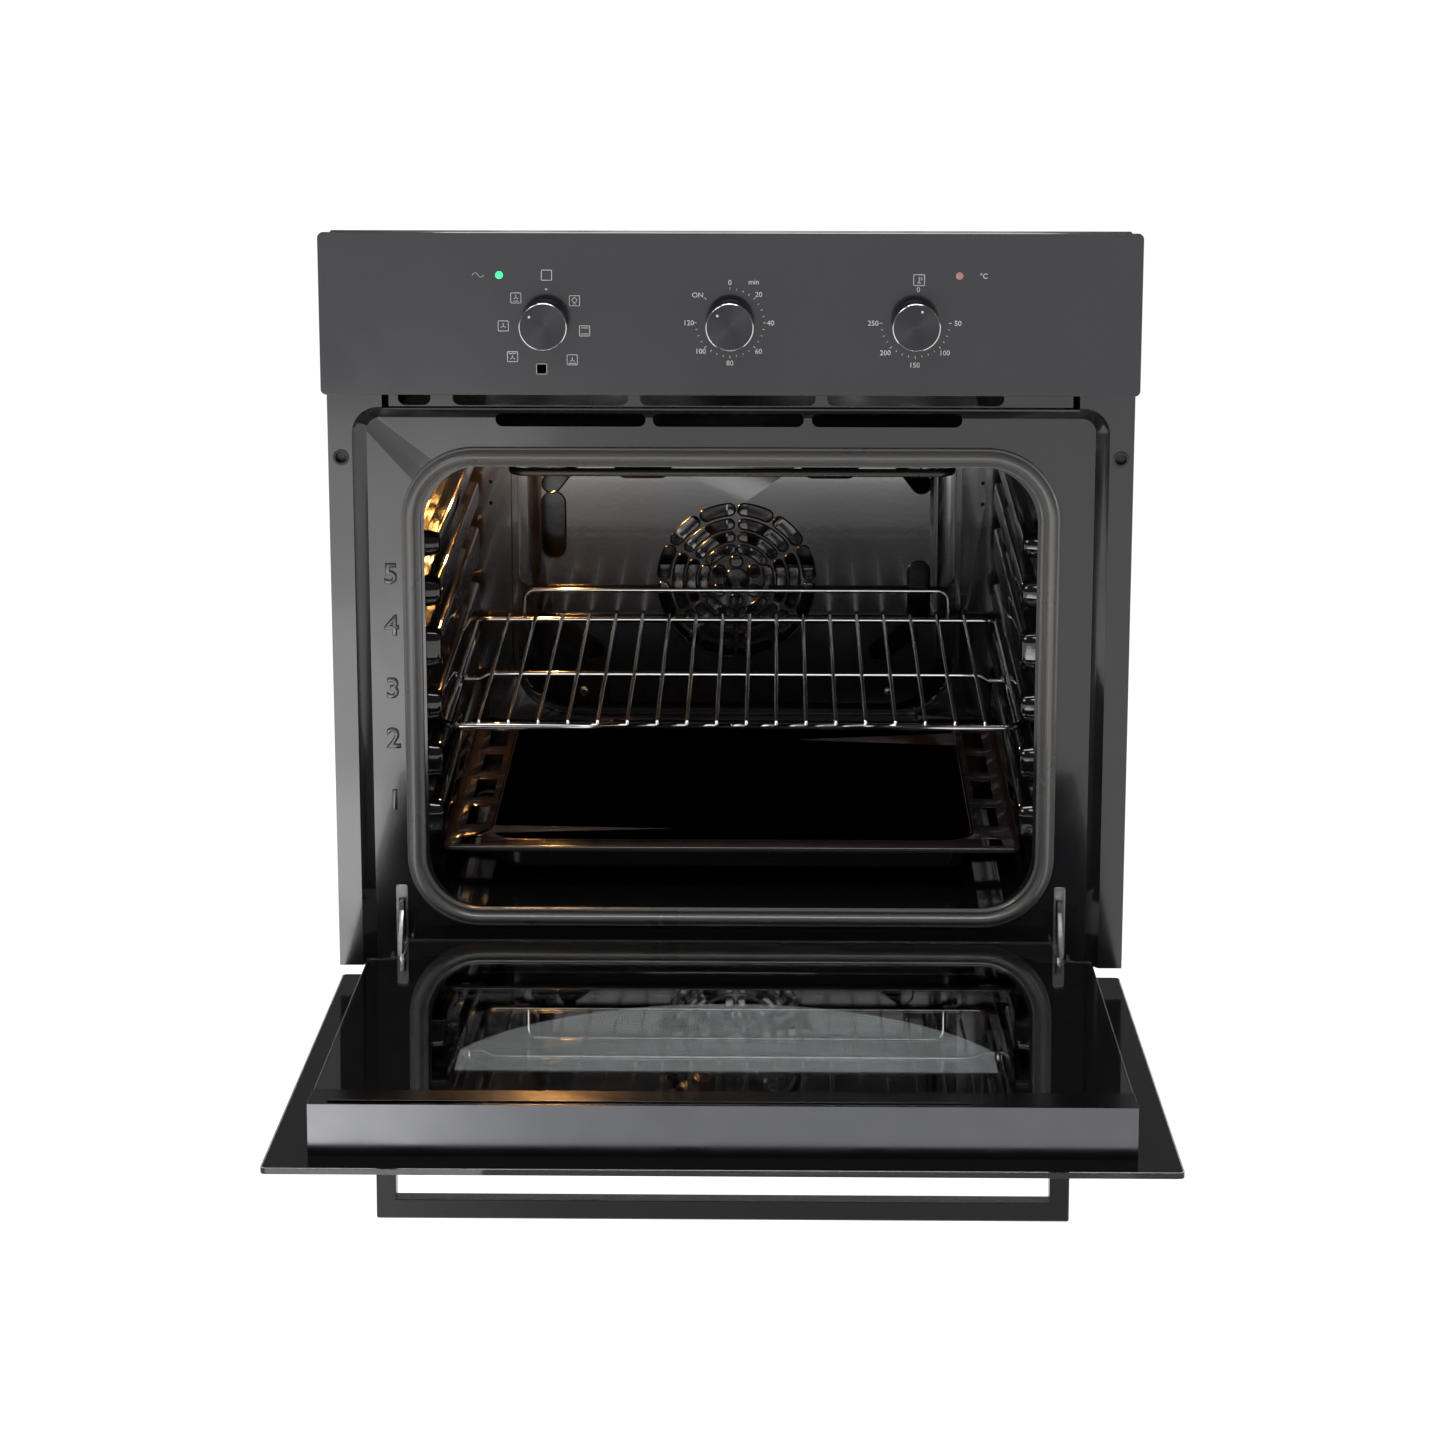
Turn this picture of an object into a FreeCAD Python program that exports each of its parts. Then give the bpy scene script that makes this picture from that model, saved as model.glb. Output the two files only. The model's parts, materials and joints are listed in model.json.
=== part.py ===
import FreeCAD, Part
import math
import os

os.makedirs("parts", exist_ok=True)

# ---------------------------------------------------------------- driving dimensions (mm)
front_width = 595.0        # fascia, door glass and front frame
door_height = 470.0        # outer door glass
fascia_height = 118.5      # control panel glass
carcass_depth = 540.0      # front frame's face to the back cover
door_depth = 36.0          # front frame's face to the door's outer face
door_bottom = 7.0          # outer glass above the base when closed
door_gap = 4.0             # door glass to control panel glass
door_open_deg = 86.2       # swing from shut to the stop
glass_t = 4.0              # toughened panes
sheet_t = 1.2              # pressed steel
recess_depth = 10.0        # front frame's face to the sealing face
mouth_corner_r = 45.0
knob_r = 17.3
knob_length = 21.6
handle_width = 453.0
handle_section_x = 13.0
handle_section_z = 14.0
handle_standoff = 42.3     # glass to the handle's outer face
shelf_rod_r = 2.75
shelf_wire_r = 1.6
shelf_wire_count = 18
tray_depth = 25.0
hinge_pin_r = 3.0
fixing_hole_r = 4.7

# ---------------------------------------------------------------- clearances (mm)
running_clear = 0.05       # shaft or pin in its bore, radial
knob_clear = 0.5           # knob's skirt to the glass
gasket_clear = 0.4         # shut door to the seal's lip
tray_clear = 0.1           # tray's lip above its ledge
shelf_clear = 0.1          # shelf's rail above its ledge
fit_gap = 0.3              # curved faces that would otherwise touch

# ---------------------------------------------------------------- derived positions (mm)
half = front_width / 2.0
kx = half / 297.5
door_top = door_bottom + door_height
fascia_bottom = door_top + door_gap
fascia_top = fascia_bottom + fascia_height
frame_bottom = door_bottom + 26.0
frame_top = fascia_top - 7.0
rear_top = frame_top - 0.145 * carcass_depth
flange_in = half - 18.0
plateau_half = half - 29.5
plateau_top = door_top - 14.5
recess_top = door_top - 11.5
mouth_half = half - 69.0
mouth_bottom = door_bottom + 68.8
mouth_top = door_top - 57.0
mouth_height = mouth_top - mouth_bottom
kz = mouth_height / 344.2
hinge_x = half - 47.5
pivot_y = -door_depth + 21.6
pivot_z = door_bottom + 32.6
body_half = half - 27.9
body_top = door_top - 25.5
inner_face_y = 3.0
cavity_half = mouth_half + 1.5
rib_tip = mouth_half - 9.0
cavity_bottom = mouth_bottom - 1.3
cavity_top = mouth_top + 1.5
cavity_front = recess_depth + sheet_t
cavity_back_y = carcass_depth - 109.0
side_x = half - 25.5
level_z = [mouth_bottom + kz * v for v in (33.7, 81.7, 130.2, 169.2, 217.7, 257.2)]
fan_z = mouth_bottom + 158.7 * kz
fan_y = cavity_back_y + 20.0
axis_z = fascia_bottom + 53.5 * fascia_height / 118.5
knob_x = [-134.1 * kx, 0.0, 134.1 * kx]
roof_z = cavity_top + sheet_t
duct_z0 = door_top - 35.5
duct_z1 = door_top - 13.5
blower_y = 0.48 * carcass_depth


def vec(x, y, z):
    """A point or direction."""
    return FreeCAD.Vector(x, y, z)


def box(x0, x1, y0, y1, z0, z1):
    """A block between two corners."""
    return Part.makeBox(x1 - x0, y1 - y0, z1 - z0, vec(x0, y0, z0))


def cyl_y(x, z, r, y0, y1):
    """A cylinder along Y."""
    return Part.makeCylinder(r, y1 - y0, vec(x, y0, z), vec(0, 1, 0))


def cyl_z(x, y, r, z0, z1):
    """A cylinder along Z."""
    return Part.makeCylinder(r, z1 - z0, vec(x, y, z0), vec(0, 0, 1))


def cyl_x(y, z, r, x0, x1):
    """A cylinder along X."""
    return Part.makeCylinder(r, x1 - x0, vec(x0, y, z), vec(1, 0, 0))


def fused(shapes):
    """One solid from several that meet."""
    out = shapes[0]
    if len(shapes) > 1:
        out = shapes[0].multiFuse(shapes[1:])
    return out.removeSplitter()


def less(shape, tools):
    """A solid with tools cut out of it."""
    for tool in tools:
        shape = shape.cut(tool)
    return shape


def wire_at(x0, x1, z0, z1, r, y):
    """A rounded rectangle in a plane of constant Y."""
    k = r * (1.0 - math.sqrt(0.5))
    corners = [
        ((x0, z0 + r), (x0 + k, z0 + k), (x0 + r, z0)),
        ((x1 - r, z0), (x1 - k, z0 + k), (x1, z0 + r)),
        ((x1, z1 - r), (x1 - k, z1 - k), (x1 - r, z1)),
        ((x0 + r, z1), (x0 + k, z1 - k), (x0, z1 - r)),
    ]
    edges = []
    for n, (a, m, b) in enumerate(corners):
        points = [vec(p[0], y, p[1]) for p in (a, m, b)]
        edges.append(Part.Arc(*points).toShape())
        c = corners[(n + 1) % 4][0]
        edges.append(Part.makeLine(vec(b[0], y, b[1]), vec(c[0], y, c[1])))
    return Part.Wire(edges)


def slab(x0, x1, z0, z1, r, y0, y1):
    """A plate with rounded corners, thick along Y."""
    face = Part.Face(wire_at(x0, x1, z0, z1, r, y0))
    return face.extrude(vec(0, y1 - y0, 0))


def slot(x, z, length, height, y0, y1, turn=0.0):
    """A round-ended slot through Y; turn is in degrees about Y."""
    r = height / 2.0
    half_run = max(length / 2.0 - r, 0.01)
    body = box(x - half_run, x + half_run, y0, y1, z - r, z + r)
    ends = [cyl_y(x - half_run, z, r, y0, y1), cyl_y(x + half_run, z, r, y0, y1)]
    shape = fused([body] + ends)
    if turn:
        shape.rotate(vec(x, y0, z), vec(0, 1, 0), turn)
    return shape


def prism_x(points, x0, x1):
    """A polygon of (y, z) points, thick along X."""
    ring = [vec(x0, y, z) for y, z in points]
    face = Part.Face(Part.makePolygon(ring + ring[:1]))
    return face.extrude(vec(x1 - x0, 0, 0))


def rod(points, r):
    """A round bar through points, with round elbows."""
    parts = []
    for a, b in zip(points, points[1:]):
        run = vec(*b).sub(vec(*a))
        parts.append(Part.makeCylinder(r, run.Length, vec(*a), run))
    for p in points[1:-1]:
        parts.append(Part.makeSphere(r * 1.04, vec(*p)))
    return fused(parts)


def flipped(shape):
    """The same piece on the other side."""
    return shape.mirror(vec(0, 0, 0), vec(1, 0, 0))


def sector(x, z, r0, r1, a0, a1, y0, y1):
    """An annular slot between two angles in degrees, round at its ends."""
    mid = (r0 + r1) / 2.0
    w = (r1 - r0) / 2.0
    ring = cyl_y(x, z, r1, y0, y1).cut(cyl_y(x, z, r0, y0 - 1, y1 + 1))
    reach = r1 * 3.0
    trim = math.degrees(w / mid)
    b0 = math.radians(a0 + trim)
    b1 = math.radians(a1 - trim)
    points = [vec(x, y0, z)]
    for n in range(7):
        b = b0 + (b1 - b0) * n / 6.0
        points.append(vec(x + reach * math.cos(b), y0, z + reach * math.sin(b)))
    wedge = Part.Face(Part.makePolygon(points + points[:1])).extrude(vec(0, y1 - y0, 0))
    parts = [ring.common(wedge)]
    for b in (b0, b1):
        parts.append(cyl_y(x + mid * math.cos(b), z + mid * math.sin(b), w, y0, y1))
    return fused(parts)


nodes = {}

# ---------------------------------------------------------------- carcass
pan = box(-side_x, side_x, 22, carcass_depth, 0, 20)
pan = pan.cut(box(-side_x + sheet_t, side_x - sheet_t, 22 + sheet_t, carcass_depth - sheet_t, sheet_t, 21))
vents = [box(x - 40, x + 40, y - 3, y + 3, -1, 3) for x in (-150 * kx, 0, 150 * kx) for y in (120, 150, 180)]
nodes["base_plate"] = less(pan, vents)

def sloped(x0, x1, y0, y1, drop0, drop1):
    """A bar along X between two planes that fall from the front frame's top to the back cover's top."""
    corners = []
    for y, drop in ((y0, drop0), (y1, drop0), (y1, drop1), (y0, drop1)):
        z = frame_top + (rear_top - frame_top) * y / carcass_depth - drop
        corners.append(vec(x0, y, z))
    return Part.Face(Part.makePolygon(corners + corners[:1])).extrude(vec(x1 - x0, 0, 0))


side = box(side_x, side_x + sheet_t, sheet_t, carcass_depth, 0, frame_top)
side = side.cut(sloped(side_x - 1, side_x + 2, 0, carcass_depth + 1, 0, -100))
side = side.cut(box(side_x - 1, side_x + 2, 0, recess_depth + sheet_t, -1, recess_top + 3))
side = side.cut(box(side_x - 1, side_x + 2, 0, 22, -1, frame_bottom + 4))
for n in range(5):
    y = carcass_depth - 60 - 22 * n
    side = side.cut(box(side_x - 1, side_x + 3, y - 3, y + 3, rear_top - 95, rear_top - 45))
    side = side.cut(box(side_x - 1, side_x + 3, y - 3, y + 3, 60, 110))
nodes["side_panel_right"] = side
nodes["side_panel_left"] = flipped(side)

cover = sloped(-side_x, side_x, sheet_t, carcass_depth, 3, 3 - sheet_t)
for n in range(9):
    x = (-200 + 50 * n) * kx
    cover = cover.cut(box(x - 4, x + 4, carcass_depth - 150, carcass_depth - 60, rear_top - 5, frame_top))
nodes["top_cover"] = cover

back = box(-side_x - sheet_t, side_x + sheet_t, carcass_depth, carcass_depth + sheet_t, 0, rear_top)
for n in range(6):
    z = fan_z - 50 + 20 * n
    back = back.cut(slot(0, z, 150, 8, carcass_depth - 1, carcass_depth + 3))
for n in range(4):
    for s in (-1, 1):
        z = rear_top - 30 - 16 * n
        back = back.cut(slot(s * 120 * kx, z, 90, 6, carcass_depth - 1, carcass_depth + 3))
back = back.cut(cyl_y(225 * kx, rear_top - 45, 9, carcass_depth - 1, carcass_depth + 3))
nodes["back_cover"] = back

# ---------------------------------------------------------------- front frame
low = frame_bottom - 60
flange = box(-half, half, 0, sheet_t, frame_bottom, frame_top)
flange = flange.cut(slab(-flange_in, flange_in, low, recess_top, 20, -1, sheet_t + 1))
flange = flange.cut(box(-257 * kx, 257 * kx, -1, sheet_t + 1, recess_top - 20, fascia_bottom + 23.5))
for x in knob_x:
    flange = flange.cut(cyl_y(x, axis_z, 6, -1, 3))
for s in (-1, 1):
    flange = flange.cut(cyl_y(s * (half - 9.5), door_bottom + 420.5 * door_height / 470.0, fixing_hole_r, -1, 3))
    flange = flange.cut(slot(s * 165.0 * kx, axis_z + 34, 14, 6, -1, 3))


def dish(grow, y0, y1, slope):
    """A rounded block whose rear edge is cut off at 45 degrees."""
    block = slab(-flange_in - grow, flange_in + grow, low - grow, recess_top + grow, 20 + grow, y0, y1)
    rear = []
    for e in block.Edges:
        if abs(e.BoundBox.YMin - y1) < 0.01 and abs(e.BoundBox.YMax - y1) < 0.01:
            rear.append(e)
    return block.makeChamfer(slope, rear)


wall = dish(sheet_t, 0, cavity_front, 10.0).cut(dish(0, -5, recess_depth, 9.6))
skirt = box(-half, half, -2, 30, low - 20, frame_bottom)
mouth = slab(-mouth_half, mouth_half, mouth_bottom, mouth_top, mouth_corner_r, -5, 40)
frame = fused([flange, wall]).cut(skirt).cut(mouth)
frame = frame.cut(box(-257 * kx, 257 * kx, -1, recess_depth - 6, plateau_top, fascia_bottom + 23.5))
for x, w in ((-118.5, 111.0), (-1.8, 111.7), (115.6, 111.1)):
    frame = frame.cut(slot(x * kx, door_top - 22.5, w * kx, 10.6, 5, 15))
for s in (-1, 1):
    frame = frame.cut(box(s * hinge_x - 3.8, s * hinge_x + 3.8, 5, 15, door_bottom + 38, door_bottom + 80))
nodes["front_frame"] = frame

strip = box(-252 * kx, 252 * kx, 0, sheet_t, door_top - 11, fascia_bottom + 23)
strip = strip.fuse(box(-240 * kx, 240 * kx, sheet_t, 2 * sheet_t, fascia_bottom + 8, fascia_bottom + 42))
for x, w in ((-233.0, 24.0), (-140.0, 129.2), (-2.0, 129.1), (136.2, 130.0)):
    strip = strip.cut(slot(x * kx, door_top - 4.5, w * kx, 11, -1, 5))
for x in knob_x:
    strip = strip.cut(cyl_y(x, axis_z, 6.5, -1, 5))
nodes["vent_strip"] = strip.removeSplitter()

ring = slab(-mouth_half - 16.5, mouth_half + 16.5, mouth_bottom - 13.3, mouth_top + 13.5, mouth_corner_r + 10,
            inner_face_y + gasket_clear, recess_depth)
ring = ring.cut(slab(-mouth_half - 2, mouth_half + 2, mouth_bottom - 2, mouth_top + 2, mouth_corner_r + 2, 0, 20))
front_edges = []
for e in ring.Edges:
    b = e.BoundBox
    if abs(b.YMin - b.YMax) < 0.01 and abs(b.YMin - inner_face_y - gasket_clear) < 0.01:
        front_edges.append(e)
nodes["door_gasket"] = ring.makeFillet(2.8, front_edges)

# ---------------------------------------------------------------- oven cavity
tube = slab(-cavity_half - sheet_t, cavity_half + sheet_t, cavity_bottom - sheet_t, cavity_top + sheet_t,
            30 + sheet_t, cavity_front, cavity_back_y)
tube = tube.cut(slab(-cavity_half, cavity_half, cavity_bottom, cavity_top, 30, 0, cavity_back_y + 5))
big = cavity_half + 20
low_split = cavity_bottom + 30
high_split = cavity_top - 30
floor = tube.common(box(-big, big, 0, cavity_back_y, cavity_bottom - 5, low_split))
roof = tube.common(box(-big, big, 0, cavity_back_y, high_split, cavity_top + 5))
rib_y0 = cavity_front + 24
rib_y1 = cavity_back_y - 18
channel = 13.0
ledge = [z - 4.9 for z in level_z]
ledge[2] = level_z[2] - 7.5


def rib(z0, z1):
    """A pressed shelf rib on the right wall, hollow from behind."""
    r = min((z1 - z0) / 2.0 - 0.3, 12.0)
    face = Part.Face(rib_wire(rib_y0, rib_y1, z0, z1, r, rib_tip))
    solid = face.extrude(vec(cavity_half + 0.6 - rib_tip, 0, 0))
    return solid


def rib_wire(y0, y1, z0, z1, r, x):
    """A rounded rectangle in a plane of constant X."""
    k = r * (1.0 - math.sqrt(0.5))
    corners = [
        ((y0, z0 + r), (y0 + k, z0 + k), (y0 + r, z0)),
        ((y1 - r, z0), (y1 - k, z0 + k), (y1, z0 + r)),
        ((y1, z1 - r), (y1 - k, z1 - k), (y1 - r, z1)),
        ((y0 + r, z1), (y0 + k, z1 - k), (y0, z1 - r)),
    ]
    edges = []
    for n, (a, m, b) in enumerate(corners):
        points = [vec(x, p[0], p[1]) for p in (a, m, b)]
        edges.append(Part.Arc(*points).toShape())
        c = corners[(n + 1) % 4][0]
        edges.append(Part.makeLine(vec(x, b[0], b[1]), vec(x, c[0], c[1])))
    return Part.Wire(edges)


def rib_hollow(z0, z1):
    """The space behind a pressed rib."""
    t = sheet_t
    r = min((z1 - z0) / 2.0 - t - 0.3, 10.8)
    face = Part.Face(rib_wire(rib_y0 + t, rib_y1 - t, z0 + t, z1 - t, r, rib_tip + t))
    return face.extrude(vec(cavity_half + 5 - rib_tip, 0, 0))


wall = tube.common(box(0, big, 0, cavity_back_y, low_split, high_split))
bands = [(ledge[n] + channel + 1.6, ledge[n + 1]) for n in range(5)]
bands.append((ledge[5] + channel + 1.6, min(ledge[5] + channel + 22, high_split - 2)))
for z0, z1 in bands:
    wall = wall.fuse(rib(z0, z1))
for z0, z1 in bands:
    wall = wall.cut(rib_hollow(z0, z1))
wall = wall.removeSplitter()
nodes["cavity_side_right"] = wall
nodes["cavity_side_left"] = flipped(wall)

lowest = box(rib_tip, cavity_half - 1.5, rib_y0, rib_y1, ledge[0] - 14, ledge[0])
lowest = lowest.cut(box(rib_tip + sheet_t, cavity_half + 2, rib_y0 + 2, rib_y1 - 2, ledge[0] - 16, ledge[0] - sheet_t))
lowest = lowest.common(slab(-cavity_half - 0.6, cavity_half + 0.6, cavity_bottom - 0.6, cavity_top, 30.6, 0, cavity_back_y))
low_side = box(rib_tip + 2, cavity_half + 0.4, rib_y0, rib_y1, ledge[0] - sheet_t, ledge[0])
low_side = low_side.common(slab(-cavity_half - 0.6, cavity_half + 0.6, cavity_bottom, cavity_top, 30.6, 0, cavity_back_y))
low_side = low_side.common(box(-big, big, 0, cavity_back_y, 0, low_split))
ledges = [lowest, low_side]
floor = fused([floor] + ledges + [flipped(s) for s in ledges])
lamp_x = -165.0 * kx
lamp_y = cavity_back_y - 45
roof = roof.cut(cyl_z(lamp_x, lamp_y, 24, cavity_top - 3, cavity_top + 5))
for x in (-55 * kx, -30 * kx, 30 * kx, 55 * kx):
    roof = roof.cut(cyl_z(x, cavity_back_y - 40, 4.5, cavity_top - 3, cavity_top + 5))
roof = roof.cut(cyl_z(130 * kx, cavity_back_y - 60, 3.5, cavity_top - 3, cavity_top + 5))
nodes["cavity_floor"] = floor
nodes["cavity_roof"] = roof

# back wall with a drawn chamber for the fan
open_half = 194.0 * kx
open_low = mouth_bottom + 38 * kz
open_high = mouth_top - 12
chamber_y = cavity_back_y + 44
rear = slab(-cavity_half - sheet_t, cavity_half + sheet_t, cavity_bottom - sheet_t, cavity_top + sheet_t, 31.2,
            cavity_back_y, cavity_back_y + sheet_t)
rear = rear.cut(slab(-open_half, open_half, open_low, open_high, 52, cavity_back_y - 1, cavity_back_y + 5))
tub = slab(-open_half - sheet_t, open_half + sheet_t, open_low - sheet_t, open_high + sheet_t, 53.2,
           cavity_back_y, chamber_y + sheet_t)
tub = tub.cut(slab(-open_half, open_half, open_low, open_high, 52, cavity_back_y - 1, chamber_y))
tub = tub.cut(cyl_y(0, fan_z, 8, chamber_y - 1, chamber_y + 5))
rear = fused([rear, tub])
for s in (-1, 1):
    for dz in (86.0, 67.5):
        rear = rear.cut(cyl_y(s * 211 * kx, fan_z + dz * kz, 1.6, cavity_back_y - 1, cavity_back_y + 3))
nodes["cavity_back"] = rear

# fan cover: raised panel, sloping rim that turns back to the chamber wall
rim_t = 1.0
panel_half = 173.0 * kx
panel_low = open_low + 12
panel_high = open_high - 14
panel_y = cavity_back_y - 2
rim_out = Part.makeLoft(
    [
        wire_at(-panel_half, panel_half, panel_low, panel_high, 40, panel_y),
        wire_at(-open_half + 4, open_half - 4, open_low + 3, open_high - 3, 48, panel_y + 14),
    ],
    True,
    True,
)
rim_in = Part.makeLoft(
    [
        wire_at(-panel_half + rim_t, panel_half - rim_t, panel_low + rim_t, panel_high - rim_t, 39, panel_y + rim_t),
        wire_at(-open_half + 4 + rim_t, open_half - 4 - rim_t, open_low + 3 + rim_t, open_high - 3 - rim_t, 47,
                panel_y + 14 + rim_t),
    ],
    True,
    True,
)
panel = rim_out.cut(rim_in)
flat = slab(-open_half + fit_gap, open_half - fit_gap, open_low + fit_gap, open_high - fit_gap, 51.7,
            panel_y + 13, panel_y + 14)
flat = flat.cut(slab(-open_half + 5, open_half - 5, open_low + 4, open_high - 4, 47, panel_y + 12, panel_y + 15))
panel = fused([panel, flat])
cuts = [cyl_y(0, fan_z, 10, panel_y - 5, panel_y + 5)]
for n in range(6):
    b = math.radians(30 + 60 * n)
    cuts.append(cyl_y(17 * math.cos(b), fan_z + 17 * math.sin(b), 4.6, panel_y - 5, panel_y + 5))
for r0, r1 in ((25.0, 31.5), (35.5, 42.5), (46.5, 54.0)):
    for n in range(6):
        a0 = -90 + 60 * n
        cuts.append(sector(0, fan_z, r0, r1, a0 + 3, a0 + 57, panel_y - 5, panel_y + 5))
for n in range(12):
    a0 = -90 + 30 * n
    cuts.append(sector(0, fan_z, 58.5, 67.5, a0 + 1.6, a0 + 28.4, panel_y - 5, panel_y + 5))
cuts.append(slot(-165 * kx + 8, fan_z + 49 * kz, 57 * kz, 19, panel_y - 5, panel_y + 5, 90))
cuts.append(slot(165 * kx - 8, fan_z - 9 * kz, 52 * kz, 17, panel_y - 5, panel_y + 5, 90))
cuts.append(slot(150 * kx, fan_z + 96 * kz, 42, 15, panel_y - 5, panel_y + 5, 52))
cuts.append(slot(-150 * kx, fan_z + 96 * kz, 42, 15, panel_y - 5, panel_y + 5, -52))
for s in (-1, 1):
    cuts.append(slot(s * 135 * kx, fan_z - 54 * kz, 44, 17, panel_y - 5, panel_y + 5, s * -35))
    cuts.append(slot(s * 80 * kx, fan_z + 100 * kz, 46, 17, panel_y - 5, panel_y + 5))
nodes["fan_cover"] = less(panel, cuts)
screws = []
for s in (-1, 1):
    for z in (open_low + 22, open_high - 26):
        x = s * (open_half - 62)
        screws.append(cyl_y(x, z, 3.6, panel_y - 1.8, panel_y))
nodes["fan_cover_screws"] = Part.makeCompound(screws)

# ---------------------------------------------------------------- heaters, lamp and probe
ez = cavity_top - 22
e0 = cavity_front + 74
e1 = cavity_back_y - 100
ex = 168 * kx
terminal_y = cavity_back_y - 40
outer_loop = [(-55 * kx, terminal_y, cavity_top + 12), (-55 * kx, terminal_y, ez), (-55 * kx, e1, ez), (-ex + 15, e1, ez),
              (-ex, e1 - 15, ez), (-ex, e0 + 15, ez), (-ex + 15, e0, ez), (ex - 15, e0, ez), (ex, e0 + 15, ez),
              (ex, e1 - 15, ez), (ex - 15, e1, ez), (55 * kx, e1, ez), (55 * kx, terminal_y, ez),
              (55 * kx, terminal_y, cavity_top + 12)]
inner_loop = [(-30 * kx, terminal_y, cavity_top + 12), (-30 * kx, terminal_y, ez), (-30 * kx, e1 - 20, ez),
              (-120 * kx, e1 - 20, ez), (-120 * kx, e0 + 40, ez), (-60 * kx, e0 + 40, ez), (-60 * kx, e1 - 60, ez),
              (60 * kx, e1 - 60, ez), (60 * kx, e0 + 40, ez), (120 * kx, e0 + 40, ez), (120 * kx, e1 - 20, ez),
              (30 * kx, e1 - 20, ez), (30 * kx, terminal_y, ez), (30 * kx, terminal_y, cavity_top + 12)]
hangers = []
for y in (e0 + 70, e1 - 70):
    hangers.append(box(-ex - 5, ex + 5, y, y + 10, ez + 2.0, ez + 3.5))
    for x in (-ex - 5, ex + 3):
        hangers.append(box(x, x + 2, y + 1, y + 9, ez + 2.5, cavity_top))
heater = rod(outer_loop, 3.2)
for piece in [rod(inner_loop, 3.2)] + hangers:
    heater = heater.fuse(piece)
nodes["grill_element"] = heater
bz = cavity_bottom - sheet_t - 3.6
under = [(-60 * kx, cavity_back_y + 30, bz), (-60 * kx, cavity_back_y - 40, bz), (-150 * kx, cavity_back_y - 40, bz),
         (-150 * kx, cavity_front + 70, bz), (-50 * kx, cavity_front + 70, bz), (-50 * kx, cavity_back_y - 110, bz),
         (50 * kx, cavity_back_y - 110, bz), (50 * kx, cavity_front + 70, bz), (150 * kx, cavity_front + 70, bz),
         (150 * kx, cavity_back_y - 40, bz), (60 * kx, cavity_back_y - 40, bz), (60 * kx, cavity_back_y + 30, bz)]
nodes["bottom_element"] = rod(under, 3.25)
shield_z = bz - 4.6
legs = []
for s in (-1, 1):
    for y in (cavity_front + 40, cavity_back_y - 30):
        legs.append(box(s * 185 * kx - 8, s * 185 * kx + 8, y, y + sheet_t, sheet_t, shield_z))
shield = box(-200 * kx, 200 * kx, cavity_front + 30, cavity_back_y - 8, shield_z, shield_z + 1.0)
nodes["bottom_shield"] = fused([shield] + legs)

lens = cyl_z(lamp_x, lamp_y, 22, cavity_top - 14, cavity_top)
lens = lens.fuse(cyl_z(lamp_x, lamp_y, 23.5, cavity_top, cavity_top + 3.5))
lens = lens.cut(cyl_z(lamp_x, lamp_y, 19.5, cavity_top - 11.5, cavity_top + 5))
nodes["lamp_lens"] = lens.removeSplitter()
socket = cyl_z(lamp_x, lamp_y, 27, cavity_top + 3.5, cavity_top + 14)
socket = socket.cut(cyl_z(lamp_x, lamp_y, 18, cavity_top + 3, cavity_top + 12))
socket = socket.fuse(box(lamp_x - 10, lamp_x + 10, lamp_y - 12, lamp_y + 12, cavity_top + 13.9, cavity_top + 17))
nodes["lamp_socket"] = socket.removeSplitter()
bulb = cyl_z(lamp_x, lamp_y, 4.0, cavity_top + 4, cavity_top + 12)
bulb = bulb.fuse(cyl_z(lamp_x, lamp_y, 9.0, cavity_top - 5, cavity_top + 5))
bulb = bulb.fuse(Part.makeSphere(9.0, vec(lamp_x, lamp_y, cavity_top - 1)))
nodes["lamp_bulb"] = bulb.removeSplitter()
px = 130 * kx
py = cavity_back_y - 60
probe = rod([(px, py, cavity_top + 10), (px, py, cavity_top - 12), (px, py - 20, cavity_top - 12),
             (px, py - 150, cavity_top - 12)], 2.4)
nodes["sensor_probe"] = probe

# ---------------------------------------------------------------- insulation, cooling air
ins_out = box(-cavity_half - 27, cavity_half + 27, cavity_front + 20, cavity_back_y, cavity_bottom, duct_z0 - 2)
ins_in = slab(-cavity_half - 2, cavity_half + 2, cavity_bottom - 60, cavity_top + 2, 31.5, 0, cavity_back_y + 5)
wrap = ins_out.cut(ins_in)
wrap = wrap.cut(cyl_z(lamp_x, lamp_y, 29, cavity_top - 5, duct_z0 + 5))
for x in (-55 * kx, -30 * kx, 30 * kx, 55 * kx):
    wrap = wrap.cut(cyl_z(x, cavity_back_y - 40, 6, cavity_top - 5, duct_z0 + 5))
wrap = wrap.cut(cyl_z(130 * kx, cavity_back_y - 60, 5, cavity_top - 5, duct_z0 + 5))
for s in (-1, 1):
    wrap = wrap.cut(box(s * hinge_x - 10, s * hinge_x + 10, 0, 66, 0, door_bottom + 90))
nodes["insulation"] = wrap

duct_half = 182.0 * kx
duct = box(-duct_half - 1, duct_half + 1, cavity_front, blower_y + 92, duct_z0 - 1, duct_z1 + 1)
duct = duct.cut(box(-duct_half, duct_half, cavity_front - 1, blower_y + 91, duct_z0, duct_z1))
duct = duct.cut(cyl_z(0, blower_y, 46, duct_z1 - 2, duct_z1 + 5))
nodes["exhaust_duct"] = duct

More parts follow.
